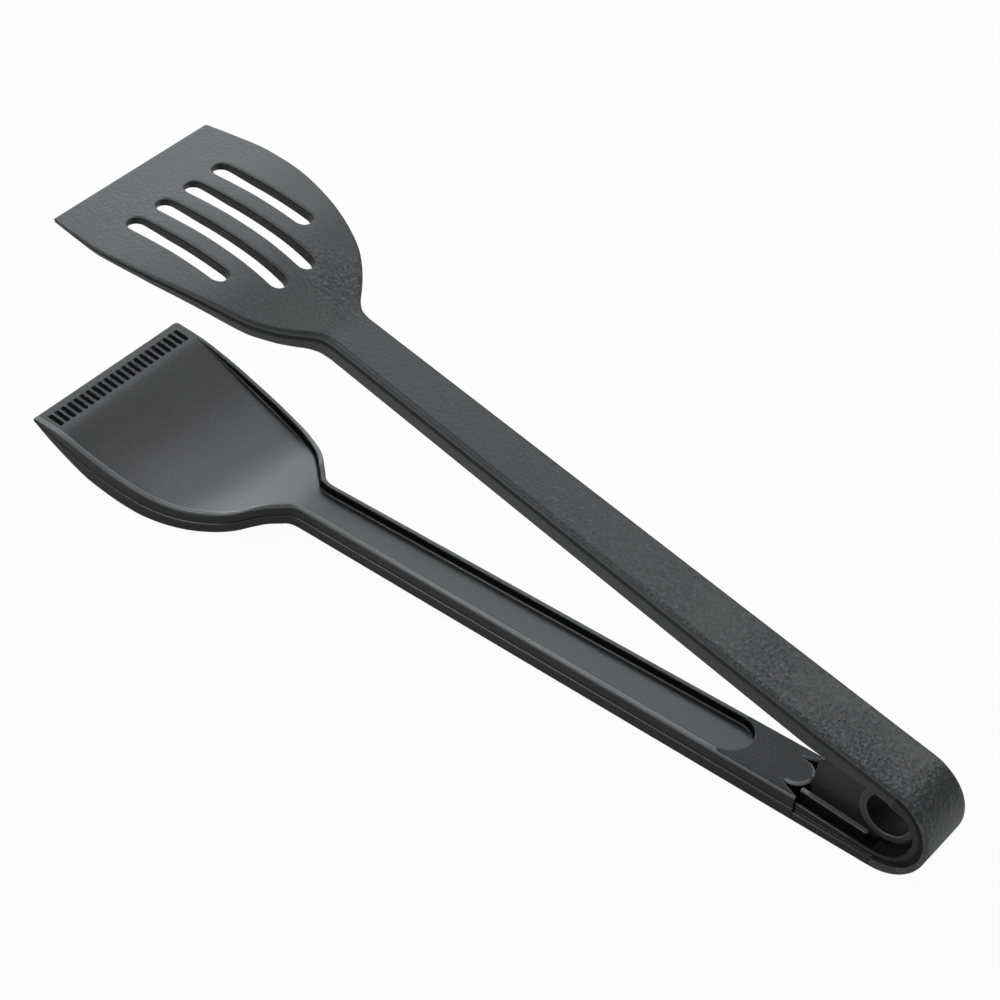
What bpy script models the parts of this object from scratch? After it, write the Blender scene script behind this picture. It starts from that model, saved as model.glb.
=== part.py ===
"""Kitchen tongs in black nylon: a slotted turner and a scoop joined by a springy U-bend.

Metres, +Z up. The tongs lie on their back with X along the arms, towards the jaws, and Y across them.
The shapes are drawn in the back frame: z = 0 is the scoop arm's back and x = 0 the bend's outermost line.
The empty "tongs" then stands the whole assembly on its bend and its belly, with the box's bottom centre
at the origin. The turner's arm is drawn in the jaw frame, whose origin is on the bend's axis.
"""

import math

import bmesh
import bpy
from mathutils import Vector

# Both arms
ARM_HALF_WIDTH_REAR = 0.01016
ARM_HALF_WIDTH_FRONT = 0.00803
ARM_TAPER_LENGTH = 0.212
RIM_WIDTH = 0.0012
LEDGE_WIDTH = 0.00095
EDGE_ROUND = 0.0007
SEAM = 0.0003

# U-bend
BEND_RADIUS = 0.0155
BEND_RIM_RADIUS_TAIL = 0.0108
BEND_RIM_RADIUS_APEX = 0.0102
BEND_RIM_RADIUS_ROOT = 0.0088
BEND_RIM_RISE = 0.0003
BEND_PLATE = 0.0016
OPENING_ANGLE = math.radians(13.0)

# Scoop arm
LIP_REACH = 0.3009
SCOOP_LENGTH = 0.0840
SCOOP_ARM_DEPTH_REAR = 0.0090
SCOOP_ARM_DEPTH = 0.0081
SCOOP_ARM_PLATE = 0.0036
CHANNEL_DEPTH = 0.0035
CHANNEL_REAR_X = 0.0618
SCOOP_HALF_WIDTH = 0.0337
SCOOP_RIM_DIP = 0.0048
SCOOP_LIP_RISE = 0.0038
SCOOP_LIP_THICKNESS = 0.0011
BELLY_DROP = 0.0051
SCOOP_BOWL = 0.0008

# Places along the scoop, measured back from its lip
RIM_FALL_TO_LIP = 0.0760
SCOOP_DIP_TO_LIP = 0.0520
BELLY_START_TO_LIP = 0.0830
BELLY_TO_LIP = 0.0460
SCOOP_FLOOR_END_TO_LIP = 0.0089

# The lip's far corner
LIP_CORNER = 0.0017
LIP_CORNER_TRIM = 0.0025
LIP_CORNER_TRIM_LENGTH = 0.0280

# Comb behind the scoop's lip
COMB_GROOVES = 22
COMB_PITCH = 0.00265
COMB_GROOVE_WIDTH = 0.0009
COMB_GROOVE_DEPTH = 0.0006
COMB_LENGTH = 0.0055
COMB_LIP_MARGIN = 0.0019
COMB_OFFSET_Y = -0.0010

# Rear of the scoop arm: nose, eye plate and hanging ring
ARM_END_X = 0.0411
NOSE_RADIUS = 0.0054
NOTCH_LENGTH = 0.0068
NOTCH_MOUTH = 0.0026
EYE_PLATE_HALF_WIDTH = 0.0011
EYE_PLATE_TOP = 0.0185
RING_RADIUS = 0.0092
RING_HOLE_RADIUS = 0.0068
RING_HALF_WIDTH = 0.0044

# Tail tray
TRAY_RAIL_TOP_FRONT = 0.0060
TRAY_RAIL_TOP_REAR = 0.0047
TRAY_FLOOR = 0.0012
TRAY_LEDGE = 0.0032
TRAY_REAR_WALL = 0.0014
RIB_REAR_X = 0.0198
RIB_OUTER_Y = 0.0056
RIB_WIDTH = 0.0018
RIB_TOP_FRONT = 0.0080
RIB_TOP_REAR = 0.0062

# Turner arm, drawn from the bend's axis
RIM_HEIGHT_OVER_AXIS = 0.0075
TURNER_ARM_DEPTH = 0.0080
TURNER_ARM_DEPTH_REAR = 0.0091
TURNER_ARM_PLATE = 0.0019
TURNER_ROOT_LENGTH = 0.030
TURNER_REACH = 0.2857
TURNER_LENGTH = 0.0844
TURNER_HALF_WIDTH = 0.0350
TURNER_HUMP = 0.0047
TURNER_LIP_DROP = 0.0096
TURNER_HUMP_DEPTH = 0.0062
TURNER_LIP_THICKNESS = 0.0016
TURNER_SKIN = 0.0036

# Places along the turner, measured back from its lip
TURNER_HUMP_START_TO_LIP = 0.0657
TURNER_HUMP_TO_LIP = 0.0497

# Slots in the turner
SLOT_WIDTH = 0.0060
SLOT_PITCH = 0.0122
SLOT_TO_LIP = 0.0158
SLOT_LENGTH_INNER = 0.0473
SLOT_LENGTH_OUTER = 0.0357

# Facets
ACROSS = 8
ROUND_STEPS = 3
BEND_STEPS = 30
RING_STEPS = 48
HEAD_STEP = 0.0025
CUT_OVERRUN = 0.004

# Outlines and side profiles: first number along the stretch, second along the size that it follows
SCOOP_OUTLINE_SHARES = ((0, 0), (0.02, 0.005), (0.048, 0.04), (0.07, 0.115), (0.095, 0.195), (0.143, 0.355),
                        (0.19, 0.49), (0.24, 0.595), (0.333, 0.74), (0.43, 0.837), (0.52, 0.895), (0.64, 0.938),
                        (0.76, 0.965), (1, 1))
RIM_FALL_SHARES = ((0, 0), (0.167, 0.15), (0.333, 0.50), (0.5, 0.735), (0.667, 0.86), (0.833, 0.96), (1, 1))
RIM_RISE_SHARES = ((0, 0), (0.08, 0.015), (0.15, 0.055), (0.23, 0.115), (0.42, 0.315), (0.615, 0.593),
                   (0.81, 0.88), (1, 1))
BELLY_FALL_SHARES = ((0, 0), (0.11, -0.10), (0.19, -0.12), (0.27, 0.02), (0.38, 0.34), (0.49, 0.57), (0.6, 0.73),
                     (0.73, 0.87), (0.87, 0.96), (1, 1))
BELLY_RISE_SHARES = ((0, 0), (0.11, 0.01), (0.2, 0.04), (0.33, 0.105), (0.44, 0.18), (0.546, 0.268), (0.66, 0.415),
                     (0.763, 0.57), (0.87, 0.745), (1, 1))
TURNER_OUTLINE_SHARES = ((0, 0), (0.03, 0.02), (0.06, 0.09), (0.10, 0.25), (0.145, 0.41), (0.22, 0.60),
                         (0.34, 0.76), (0.46, 0.87), (0.58, 0.95), (0.70, 0.99), (0.77, 1.0), (0.88, 0.965),
                         (1, 0.91))
HUMP_RISE_SHARES = ((0, 0), (0.1, 0.03), (0.29, 0.32), (0.57, 0.73), (0.71, 0.88), (0.86, 0.98), (1, 1))
HUMP_FALL_SHARES = ((0, 0), (0.1, 0.03), (0.3, 0.15), (0.5, 0.365), (0.7, 0.625), (0.9, 0.875), (1, 1))
LEDGE_SHARE_AT_LIP = 0.35
EDGE_ROUND_SHARE_MAX = 0.8

# Worked out from the sizes above
SCOOP_START_X = LIP_REACH - SCOOP_LENGTH
RIM_FALL_X = LIP_REACH - RIM_FALL_TO_LIP
SCOOP_DIP_X = LIP_REACH - SCOOP_DIP_TO_LIP
BELLY_START_X = LIP_REACH - BELLY_START_TO_LIP
BELLY_X = LIP_REACH - BELLY_TO_LIP
SCOOP_FLOOR_END_X = LIP_REACH - SCOOP_FLOOR_END_TO_LIP
TURNER_START = TURNER_REACH - TURNER_LENGTH
TURNER_HUMP_START = TURNER_REACH - TURNER_HUMP_START_TO_LIP
TURNER_HUMP_REACH = TURNER_REACH - TURNER_HUMP_TO_LIP
SLOT_FRONT = TURNER_REACH - SLOT_TO_LIP
TAIL_X = BEND_RADIUS + SEAM
TRAY_FRONT_X = ARM_END_X - SEAM
NOSE_CENTRE_X = ARM_END_X + NOSE_RADIUS
RAIL_INNER_SETBACK = LEDGE_WIDTH + RIM_WIDTH


def smooth_through(points, t):
    """Height at t of a smooth curve through the points, without overshoot between them."""
    t = min(max(t, points[0][0]), points[-1][0])
    slopes = [(b[1] - a[1]) / (b[0] - a[0]) for a, b in zip(points, points[1:])]
    i = max(k for k in range(len(slopes)) if points[k][0] <= t or k == 0)

    def tangent(k):
        if k == 0:
            return slopes[0]
        if k == len(slopes):
            return slopes[-1]
        before, after = slopes[k - 1], slopes[k]
        return 2 * before * after / (before + after) if before * after > 0 else 0

    span = points[i + 1][0] - points[i][0]
    u = (t - points[i][0]) / span
    rise = points[i + 1][1] - points[i][1]
    start, end = tangent(i) * span, tangent(i + 1) * span
    return points[i][1] + start * u + (3 * rise - 2 * start - end) * u ** 2 + (start + end - 2 * rise) * u ** 3


def ease(t):
    """0 to 1 with level ends."""
    t = min(max(t, 0), 1)
    return t * t * (3 - 2 * t)


def share_along(x, start, end):
    """Where x lies between start and end, held to 0..1."""
    return min(max((x - start) / (end - start), 0), 1)


def arm_half_width(x):
    """Half-width of the straight arm's plate at x from the bend's outermost line."""
    return ARM_HALF_WIDTH_REAR + (ARM_HALF_WIDTH_FRONT - ARM_HALF_WIDTH_REAR) * x / ARM_TAPER_LENGTH


def slant(half_width, x):
    """Factor that turns a distance square to the outline into one across the arm."""
    reach = HEAD_STEP / 4
    slope = (half_width(x + reach) - half_width(x - reach)) / (2 * reach)
    return math.sqrt(1 + slope * slope)


# Meshes

def make_material(name, colour, roughness):
    """Principled material of a moulded nylon piece."""
    material = bpy.data.materials.new(name)
    material.use_nodes = True
    shader = material.node_tree.nodes["Principled BSDF"]
    shader.inputs["Base Color"].default_value = (*colour, 1)
    shader.inputs["Roughness"].default_value = roughness
    shader.inputs["Metallic"].default_value = 0
    return material


def add_object(name, bm, parent):
    """Object from a bmesh, with its faces outward, smooth but for its real edges."""
    bmesh.ops.recalc_face_normals(bm, faces=bm.faces)
    mesh = bpy.data.meshes.new(name)
    bm.to_mesh(mesh)
    bm.free()
    mesh.shade_smooth()
    mesh.set_sharp_from_angle(angle=math.radians(35))
    obj = bpy.data.objects.new(name, mesh)
    obj.parent = parent
    bpy.context.collection.objects.link(obj)
    return obj


def close_end(bm, ring, side_points):
    """End face of a body whose section has points across, as strips between its bottom and its top."""
    if side_points is None:
        bm.faces.new(ring)
        return
    top = ACROSS + side_points
    for i in range(ACROSS):
        bm.faces.new((ring[ACROSS - i], ring[top + i], ring[top + i + 1], ring[ACROSS - i - 1]))
    if side_points > 1:
        bm.faces.new(ring[ACROSS:top + 1])
        bm.faces.new(ring[top + ACROSS:] + ring[:1])


def loft(name, sections, parent, side_points=None):
    """Closed body through sections that have as many points each.

    side_points is the number of points in each side of a section that comes from whole_section.
    """
    bm = bmesh.new()
    rings = [[bm.verts.new(point) for point in section] for section in sections]
    count = len(rings[0])
    for ring, following in zip(rings, rings[1:]):
        for i in range(count):
            j = (i + 1) % count
            bm.faces.new((ring[i], ring[j], following[j], following[i]))
    close_end(bm, rings[0], side_points)
    close_end(bm, rings[-1], side_points)
    bmesh.ops.triangulate(bm, faces=bm.faces)
    return add_object(name, bm, parent)


def prism(name, outline, low, high, parent):
    """Closed body from an outline of (first, second) points, from low to high along the third axis."""
    return loft(name, [[Vector((a, b, height)) for a, b in outline] for height in (low, high)], parent)


def prism_across(name, outline, half_width, parent):
    """Closed body from an outline of (x, z) points, from one side of the arm to the other."""
    return loft(name, [[Vector((x, y, z)) for x, z in outline] for y in (-half_width, half_width)], parent)


def modify(obj, operation, other):
    """Boolean of obj with a guide piece, which itself stays out of the model."""
    modifier = obj.modifiers.new(other.name, "BOOLEAN")
    modifier.operation = operation
    modifier.solver = "EXACT"
    modifier.object = other
    other.hide_render = True
    other.display_type = "WIRE"


def arc(centre, radius, first, last, steps):
    """Points on an arc, angles in radians, both ends included."""
    angles = [first + (last - first) * i / steps for i in range(steps + 1)]
    return [(centre[0] + radius * math.cos(a), centre[1] + radius * math.sin(a)) for a in angles]


def across(half_width):
    """Places across a surface, from the far side to the near side."""
    return [half_width * (2 * i / ACROSS - 1) for i in range(ACROSS + 1)]


def whole_section(bottom, side, top):
    """Section as (y, height) points: bottom across, near side up, top back across, far side down."""
    return bottom + side + top[1:-1] + [(-y, height) for y, height in reversed(side)]


def stepped_section(plate, web, outer, ledge, inner):
    """Section of an arm: a wide plate with rounded edges and a narrower web on it.

    outer(y) is the plate's outer face, ledge the height of the step and inner the rims' height.
    """
    radius = min(EDGE_ROUND, abs(ledge - outer(plate)) * EDGE_ROUND_SHARE_MAX)
    turn = math.copysign(radius, ledge - outer(plate))
    side = []
    for i in range(1, ROUND_STEPS + 1):
        angle = math.pi / 2 * i / ROUND_STEPS
        side.append((plate - radius * (1 - math.sin(angle)), outer(plate) + turn * (1 - math.cos(angle))))
    side += [(plate, ledge), (web, ledge), (web, inner)]
    return whole_section([(y, outer(y)) for y in across(plate - radius)], side,
                         [(-y, inner) for y in across(web)])


STEPPED_SIDE_POINTS = ROUND_STEPS + 3


def room_section(x, half_width, floor, open_side):
    """Section of the room between two rims: floor(y) across, open on the other side."""
    points = whole_section([(y, floor(y)) for y in across(half_width)], [(half_width, open_side)],
                           [(-y, open_side) for y in across(half_width)])
    return [Vector((x, y, z)) for y, z in points]


# Scoop arm

def scoop_half_width(x):
    """Half-width of the scoop arm's plate, arm and scoop together."""
    share = smooth_through(SCOOP_OUTLINE_SHARES, share_along(x, SCOOP_START_X, LIP_REACH))
    neck = arm_half_width(min(x, SCOOP_START_X))
    return neck + (SCOOP_HALF_WIDTH - neck) * share


def scoop_rim_height(x):
    """Height of the scoop arm's rims."""
    arm = SCOOP_ARM_DEPTH_REAR + (SCOOP_ARM_DEPTH - SCOOP_ARM_DEPTH_REAR) * share_along(x, ARM_END_X, SCOOP_START_X)
    fall = smooth_through(RIM_FALL_SHARES, share_along(x, RIM_FALL_X, SCOOP_DIP_X))
    rise = smooth_through(RIM_RISE_SHARES, share_along(x, SCOOP_DIP_X, LIP_REACH))
    return arm - SCOOP_RIM_DIP * fall + (SCOOP_RIM_DIP + SCOOP_LIP_RISE) * rise


def scoop_back_height(x):
    """Height of the scoop arm's back along its edge."""
    lip_back = SCOOP_ARM_DEPTH + SCOOP_LIP_RISE - SCOOP_LIP_THICKNESS
    fall = smooth_through(BELLY_FALL_SHARES, share_along(x, BELLY_START_X, BELLY_X))
    rise = smooth_through(BELLY_RISE_SHARES, share_along(x, BELLY_X, LIP_REACH))
    return -BELLY_DROP * fall + (BELLY_DROP + lip_back) * rise


def scoop_bowl(x, y):
    """How far the scoop sinks below its edge at (x, y)."""
    half_width = scoop_half_width(x)
    lengthwise = math.sin(math.pi * share_along(x, SCOOP_START_X, LIP_REACH))
    return SCOOP_BOWL * lengthwise * (1 - min(abs(y) / half_width, 1) ** 2)


def ledge_width(depth, full_depth):
    """Width of the side step, which fades where the wall gets thin."""
    return LEDGE_WIDTH * (LEDGE_SHARE_AT_LIP + (1 - LEDGE_SHARE_AT_LIP) * depth / full_depth)


def scoop_web_half_width(x):
    """Half-width over the rims, inside the side step."""
    depth = scoop_rim_height(x) - scoop_back_height(x)
    return scoop_half_width(x) - ledge_width(depth, SCOOP_ARM_DEPTH) * slant(scoop_half_width, min(x, SCOOP_FLOOR_END_X))


def scoop_section(x):
    """Section of the scoop arm's solid form, before its channel is cut."""
    rim, back = scoop_rim_height(x), scoop_back_height(x)
    ledge = back + (rim - back) * SCOOP_ARM_PLATE / SCOOP_ARM_DEPTH
    section = stepped_section(scoop_half_width(x), scoop_web_half_width(x),
                              lambda y: back - scoop_bowl(x, y), ledge, rim)
    return [Vector((x, y, z)) for y, z in section]


def scoop_channel_section(x, half_width):
    """Section of the room inside the scoop arm's rims: the channel and, further on, the scoop's bowl."""
    shallow = share_along(x, SCOOP_DIP_X, SCOOP_FLOOR_END_X)
    depth = CHANNEL_DEPTH * (1 - shallow ** 2)
    rim = scoop_rim_height(x)
    return room_section(x, half_width, lambda y: rim - depth - scoop_bowl(x, y), rim + CUT_OVERRUN)


def head_stations(start, end):
    """Places along a head, one every HEAD_STEP or a little less."""
    count = math.ceil((end - start) / HEAD_STEP)
    return [start + (end - start) * i / count for i in range(count + 1)]


def cut_scoop_channel(arm, parent):
    """The channel, round at its rear, with the scoop's bowl at its front."""
    inset = lambda x: scoop_web_half_width(x) - RIM_WIDTH * slant(scoop_half_width, x)
    radius = inset(CHANNEL_REAR_X)
    sections = []
    for i in range(1, ROUND_STEPS * 3 + 1):
        angle = math.pi / 2 * i / (ROUND_STEPS * 3)
        x = CHANNEL_REAR_X + radius * (1 - math.cos(angle))
        sections.append(scoop_channel_section(x, radius * math.sin(angle)))
    for x in head_stations(SCOOP_START_X, SCOOP_FLOOR_END_X):
        sections.append(scoop_channel_section(x, inset(x)))
    modify(arm, "DIFFERENCE", loft("scoop_channel", sections, parent, 1))


def cut_comb(arm, parent):
    """Short grooves side by side, just behind the lip."""
    front = LIP_REACH - COMB_LIP_MARGIN
    bm = bmesh.new()
    for i in range(COMB_GROOVES):
        y = COMB_OFFSET_Y + COMB_PITCH * (i - (COMB_GROOVES - 1) / 2)
        ends = []
        for x in (front - COMB_LENGTH, front):
            rim = scoop_rim_height(x)
            low, high = rim - COMB_GROOVE_DEPTH, rim + CUT_OVERRUN
            left, right = y - COMB_GROOVE_WIDTH / 2, y + COMB_GROOVE_WIDTH / 2
            corners = ((left, low), (right, low), (right, high), (left, high))
            ends.append([bm.verts.new((x, a, b)) for a, b in corners])
        rear, fore = ends
        for j in range(4):
            k = (j + 1) % 4
            bm.faces.new((rear[j], rear[k], fore[k], fore[j]))
        bm.faces.new(rear)
        bm.faces.new(fore)
    modify(arm, "DIFFERENCE", add_object("comb_grooves", bm, parent))


def cut_lip_corner(arm, parent):
    """Draws in the scoop's far edge a little and rounds the lip's far corner, which sweeps along a pan's wall."""
    start = LIP_REACH - LIP_CORNER_TRIM_LENGTH
    end = LIP_REACH - LIP_CORNER
    outline = []
    for x in head_stations(start, end):
        trim = LIP_CORNER_TRIM * share_along(x, start, end) ** 1.5
        outline.append((x, trim - scoop_half_width(x)))
    centre = (end, outline[-1][1] + LIP_CORNER)
    outline += arc(centre, LIP_CORNER, -math.pi / 2, 0, ROUND_STEPS * 2)[1:]
    outside_x, outside_y = LIP_REACH + CUT_OVERRUN, -SCOOP_HALF_WIDTH - CUT_OVERRUN
    outline += [(outside_x, centre[1]), (outside_x, outside_y), (start, outside_y)]
    low = scoop_back_height(start) - CUT_OVERRUN
    high = scoop_rim_height(LIP_REACH) + CUT_OVERRUN
    modify(arm, "DIFFERENCE", prism("lip_corner", outline, low, high, parent))


def cut_nose(arm, parent):
    """Two notches that leave a round nose between the arm's shoulders."""
    outside_x = ARM_END_X - CUT_OVERRUN
    slope = NOTCH_MOUTH / NOTCH_LENGTH
    for side, name in ((-1, "far_notch"), (1, "near_notch")):
        nose = arc((NOSE_CENTRE_X, 0), NOSE_RADIUS, math.pi / 2, math.pi * 0.95, ROUND_STEPS * 3)
        outline = [(ARM_END_X + NOTCH_LENGTH, NOSE_RADIUS)] + nose
        outline += [(outside_x, nose[-1][1]), (outside_x, NOSE_RADIUS + NOTCH_MOUTH + slope * CUT_OVERRUN)]
        outline = [(x, side * y) for x, y in outline]
        modify(arm, "DIFFERENCE", prism(name, outline, TRAY_FLOOR + SEAM, SCOOP_ARM_DEPTH_REAR + CUT_OVERRUN, parent))


def add_eye_plate(arm, parent):
    """The upright plate behind the nose, which stands in the tail tray and carries the hanging ring."""
    rear = TAIL_X + TRAY_REAR_WALL + SEAM
    floor = TRAY_FLOOR + SEAM
    centre = (BEND_RADIUS, BEND_RADIUS)
    in_band = (RING_RADIUS + RING_HOLE_RADIUS) / 2
    highest = math.asin((EYE_PLATE_TOP - BEND_RADIUS) / in_band)
    lowest = -math.acos((rear - BEND_RADIUS) / in_band)
    outline = [(rear, floor), (NOSE_CENTRE_X, floor), (NOSE_CENTRE_X, TRAY_LEDGE + SEAM), (ARM_END_X, SCOOP_ARM_DEPTH),
               (ARM_END_X, EYE_PLATE_TOP)] + arc(centre, in_band, highest, lowest, ROUND_STEPS * 4)
    modify(arm, "UNION", prism_across("eye_plate", outline, EYE_PLATE_HALF_WIDTH, parent))
    turn = 2 * math.pi * (RING_STEPS - 1) / RING_STEPS
    modify(arm, "UNION", prism_across("ring", arc(centre, RING_RADIUS, 0, turn, RING_STEPS - 1),
                                      RING_HALF_WIDTH, parent))
    modify(arm, "DIFFERENCE", prism_across("ring_hole", arc(centre, RING_HOLE_RADIUS, 0, turn, RING_STEPS - 1),
                                           RING_HALF_WIDTH + CUT_OVERRUN, parent))


def make_lower_arm(parent):
    """Scoop, channelled arm, nose, eye plate and hanging ring: one moulding."""
    stations = [ARM_END_X, (ARM_END_X + SCOOP_START_X) / 2] + head_stations(SCOOP_START_X, LIP_REACH)
    arm = loft("lower_arm", [scoop_section(x) for x in stations], parent, STEPPED_SIDE_POINTS)
    cut_scoop_channel(arm, parent)
    cut_comb(arm, parent)
    cut_lip_corner(arm, parent)
    cut_nose(arm, parent)
    add_eye_plate(arm, parent)
    arm.data.materials.append(make_material("nylon_scoop", (0.030, 0.031, 0.033), 0.45))
    return arm


# Tail tray

def rising_block(name, corners, low, high_rear, high_front, parent):
    """Block over four plan corners, rear pair first, whose top rises from the rear to the front."""
    rear, front = corners[:2], corners[2:]
    sections = []
    for pair, high in ((rear, high_rear), (front, high_front)):
        (x, right), (_, left) = pair
        sections.append([Vector((x, right, low)), Vector((x, left, low)), Vector((x, left, high)),
                         Vector((x, right, high))])
    return loft(name, sections, parent)


def make_tail(parent):
    """The open tray behind the scoop arm: a floor, two stepped side rails, a rear wall and two inner ribs."""
    def section(x, rail_top):
        plate = arm_half_width(x)
        points = stepped_section(plate, plate - LEDGE_WIDTH, lambda y: 0, TRAY_LEDGE, rail_top)
        return [Vector((x, y, z)) for y, z in points]

    tail = loft("tail", [section(TAIL_X, TRAY_RAIL_TOP_REAR), section(TRAY_FRONT_X, TRAY_RAIL_TOP_FRONT)], parent,
                STEPPED_SIDE_POINTS)
    rear, front = TAIL_X + TRAY_REAR_WALL, TRAY_FRONT_X + CUT_OVERRUN
    reach = [arm_half_width(x) - RAIL_INNER_SETBACK for x in (rear, front)]
    outline = [(rear, -reach[0]), (front, -reach[1]), (front, reach[1]), (rear, reach[0])]
    top = TRAY_RAIL_TOP_FRONT + CUT_OVERRUN
    modify(tail, "DIFFERENCE", prism("tray_room", outline, TRAY_FLOOR, top, parent))
    for side, name in ((-1, "far_rib"), (1, "near_rib")):
        edges = (side * RIB_OUTER_Y, side * (RIB_OUTER_Y - RIB_WIDTH))
        corners = [(RIB_REAR_X, edges[0]), (RIB_REAR_X, edges[1]), (TRAY_FRONT_X, edges[0]), (TRAY_FRONT_X, edges[1])]
        modify(tail, "UNION", rising_block(name, corners, TRAY_FLOOR / 2, RIB_TOP_REAR, RIB_TOP_FRONT, parent))
    tail.data.materials.append(make_material("nylon_tail", (0.028, 0.029, 0.031), 0.5))
    return tail


# U-bend

def make_bend(parent):
    """The springy strap, swept from the tail round to the root of the turner's arm."""
    half_width = arm_half_width(BEND_RADIUS)
    web = half_width - LEDGE_WIDTH
    room = web - RIM_WIDTH
    tail_angle, root_angle = 3 * math.pi / 2, math.pi / 2 + OPENING_ANGLE
    root_floor = RIM_HEIGHT_OVER_AXIS + CHANNEL_DEPTH
    sections = []
    for i in range(BEND_STEPS + 1):
        angle = tail_angle + (root_angle - tail_angle) * i / BEND_STEPS
        to_apex = ease(share_along(angle, tail_angle, math.pi))
        to_root = ease(share_along(angle, math.pi, root_angle))
        rim = (BEND_RIM_RADIUS_TAIL + (BEND_RIM_RADIUS_APEX - BEND_RIM_RADIUS_TAIL) * to_apex
               + (BEND_RIM_RADIUS_ROOT - BEND_RIM_RADIUS_APEX) * to_root)
        floor_apex = BEND_RIM_RADIUS_APEX + BEND_RIM_RISE
        floor = BEND_RIM_RADIUS_TAIL + BEND_RIM_RISE + (floor_apex - BEND_RIM_RADIUS_TAIL - BEND_RIM_RISE) * to_apex
        floor += (root_floor - floor_apex) * to_root
        half = [(half_width - EDGE_ROUND, BEND_RADIUS)]
        half += [(half_width - EDGE_ROUND * (1 - math.sin(math.pi / 2 * k / ROUND_STEPS)),
                  BEND_RADIUS - EDGE_ROUND * (1 - math.cos(math.pi / 2 * k / ROUND_STEPS)))
                 for k in range(1, ROUND_STEPS + 1)]
        half += [(half_width, BEND_RADIUS - BEND_PLATE), (web, BEND_RADIUS - BEND_PLATE), (web, rim), (room, rim),
                 (room, floor)]
        points = half + [(-y, radius) for y, radius in reversed(half)]
        sections.append([Vector((BEND_RADIUS + radius * math.cos(angle), y, BEND_RADIUS + radius * math.sin(angle)))
                         for y, radius in points])
    bend = loft("bend_spring", sections, parent)
    bend.data.materials.append(make_material("nylon_bend", (0.033, 0.034, 0.036), 0.5))
    return bend


# Turner arm, in the jaw frame

def turner_half_width(x):
    """Half-width of the turner arm's plate at x from the bend's axis."""
    share = smooth_through(TURNER_OUTLINE_SHARES, share_along(x, TURNER_START, TURNER_REACH))
    neck = arm_half_width(min(x, TURNER_START) + BEND_RADIUS)
    return neck + (TURNER_HALF_WIDTH - neck) * share


def turner_face_height(x):
    """Height of the turner arm's outer face over the bend's axis."""
    rise = smooth_through(HUMP_RISE_SHARES, share_along(x, TURNER_START, TURNER_HUMP_REACH))
    fall = smooth_through(HUMP_FALL_SHARES, share_along(x, TURNER_HUMP_REACH, TURNER_REACH))
    return RIM_HEIGHT_OVER_AXIS + TURNER_ARM_DEPTH + TURNER_HUMP * rise - TURNER_LIP_DROP * fall


def turner_depth(x):
    """Distance from the outer face to the rims' edge."""
    arm = TURNER_ARM_DEPTH_REAR + (TURNER_ARM_DEPTH - TURNER_ARM_DEPTH_REAR) * share_along(x, 0, TURNER_START)
    root_depth = BEND_RADIUS - BEND_RIM_RADIUS_ROOT
    root = (TURNER_ARM_DEPTH_REAR - root_depth) * (1 - ease(share_along(x, 0, TURNER_ROOT_LENGTH)))
    thinner = ease(share_along(x, TURNER_START, TURNER_HUMP_START))
    lip = share_along(x, TURNER_HUMP_START, TURNER_REACH)
    return (arm - root - (TURNER_ARM_DEPTH - TURNER_HUMP_DEPTH) * thinner
            - (TURNER_HUMP_DEPTH - TURNER_LIP_THICKNESS) * lip)


def turner_web_half_width(x):
    """Half-width over the turner arm's rims, inside the side step."""
    return turner_half_width(x) - ledge_width(turner_depth(x), TURNER_ARM_DEPTH) * slant(turner_half_width, x)


def turner_section(x):
    """Section of the turner arm's solid form, before its channel is cut."""
    face, depth = turner_face_height(x), turner_depth(x)
    ledge = face - depth * TURNER_ARM_PLATE / TURNER_ARM_DEPTH
    section = stepped_section(turner_half_width(x), turner_web_half_width(x), lambda y: face, ledge, face - depth)
    return [Vector((x, y, z)) for y, z in section]


def cut_turner_channel(arm, parent):
    """The room between the turner arm's rims, open at the bend and fading out behind the lip."""
    full_skin = TURNER_ARM_DEPTH - CHANNEL_DEPTH
    sections = []
    stations = [-CUT_OVERRUN, 0] + head_stations(TURNER_START, TURNER_REACH - CUT_OVERRUN)
    for x in stations:
        half_width = turner_web_half_width(max(x, 0)) - RIM_WIDTH * slant(turner_half_width, max(x, 0))
        skin = full_skin - (full_skin - TURNER_SKIN) * ease(share_along(x, TURNER_START, TURNER_HUMP_REACH))
        floor = turner_face_height(x) - skin
        low = turner_face_height(x) - turner_depth(x) - CUT_OVERRUN
        sections.append(room_section(x, half_width, lambda y: floor, low))
    modify(arm, "DIFFERENCE", loft("turner_channel", sections, parent, 1))


def cut_slots(arm, parent):
    """Four slots with round ends, the two middle ones longer."""
    radius = SLOT_WIDTH / 2
    low = turner_face_height(TURNER_REACH) - TURNER_LIP_THICKNESS - CUT_OVERRUN
    high = turner_face_height(TURNER_HUMP_REACH) + CUT_OVERRUN
    for i in range(4):
        y = SLOT_PITCH * (i - 1.5)
        rear = SLOT_FRONT - (SLOT_LENGTH_INNER if i in (1, 2) else SLOT_LENGTH_OUTER)
        outline = arc((SLOT_FRONT - radius, y), radius, -math.pi / 2, math.pi / 2, ROUND_STEPS * 4)
        outline += arc((rear + radius, y), radius, math.pi / 2, math.pi * 3 / 2, ROUND_STEPS * 4)
        modify(arm, "DIFFERENCE", prism(f"slot_{i + 1}", outline, low, high, parent))


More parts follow.
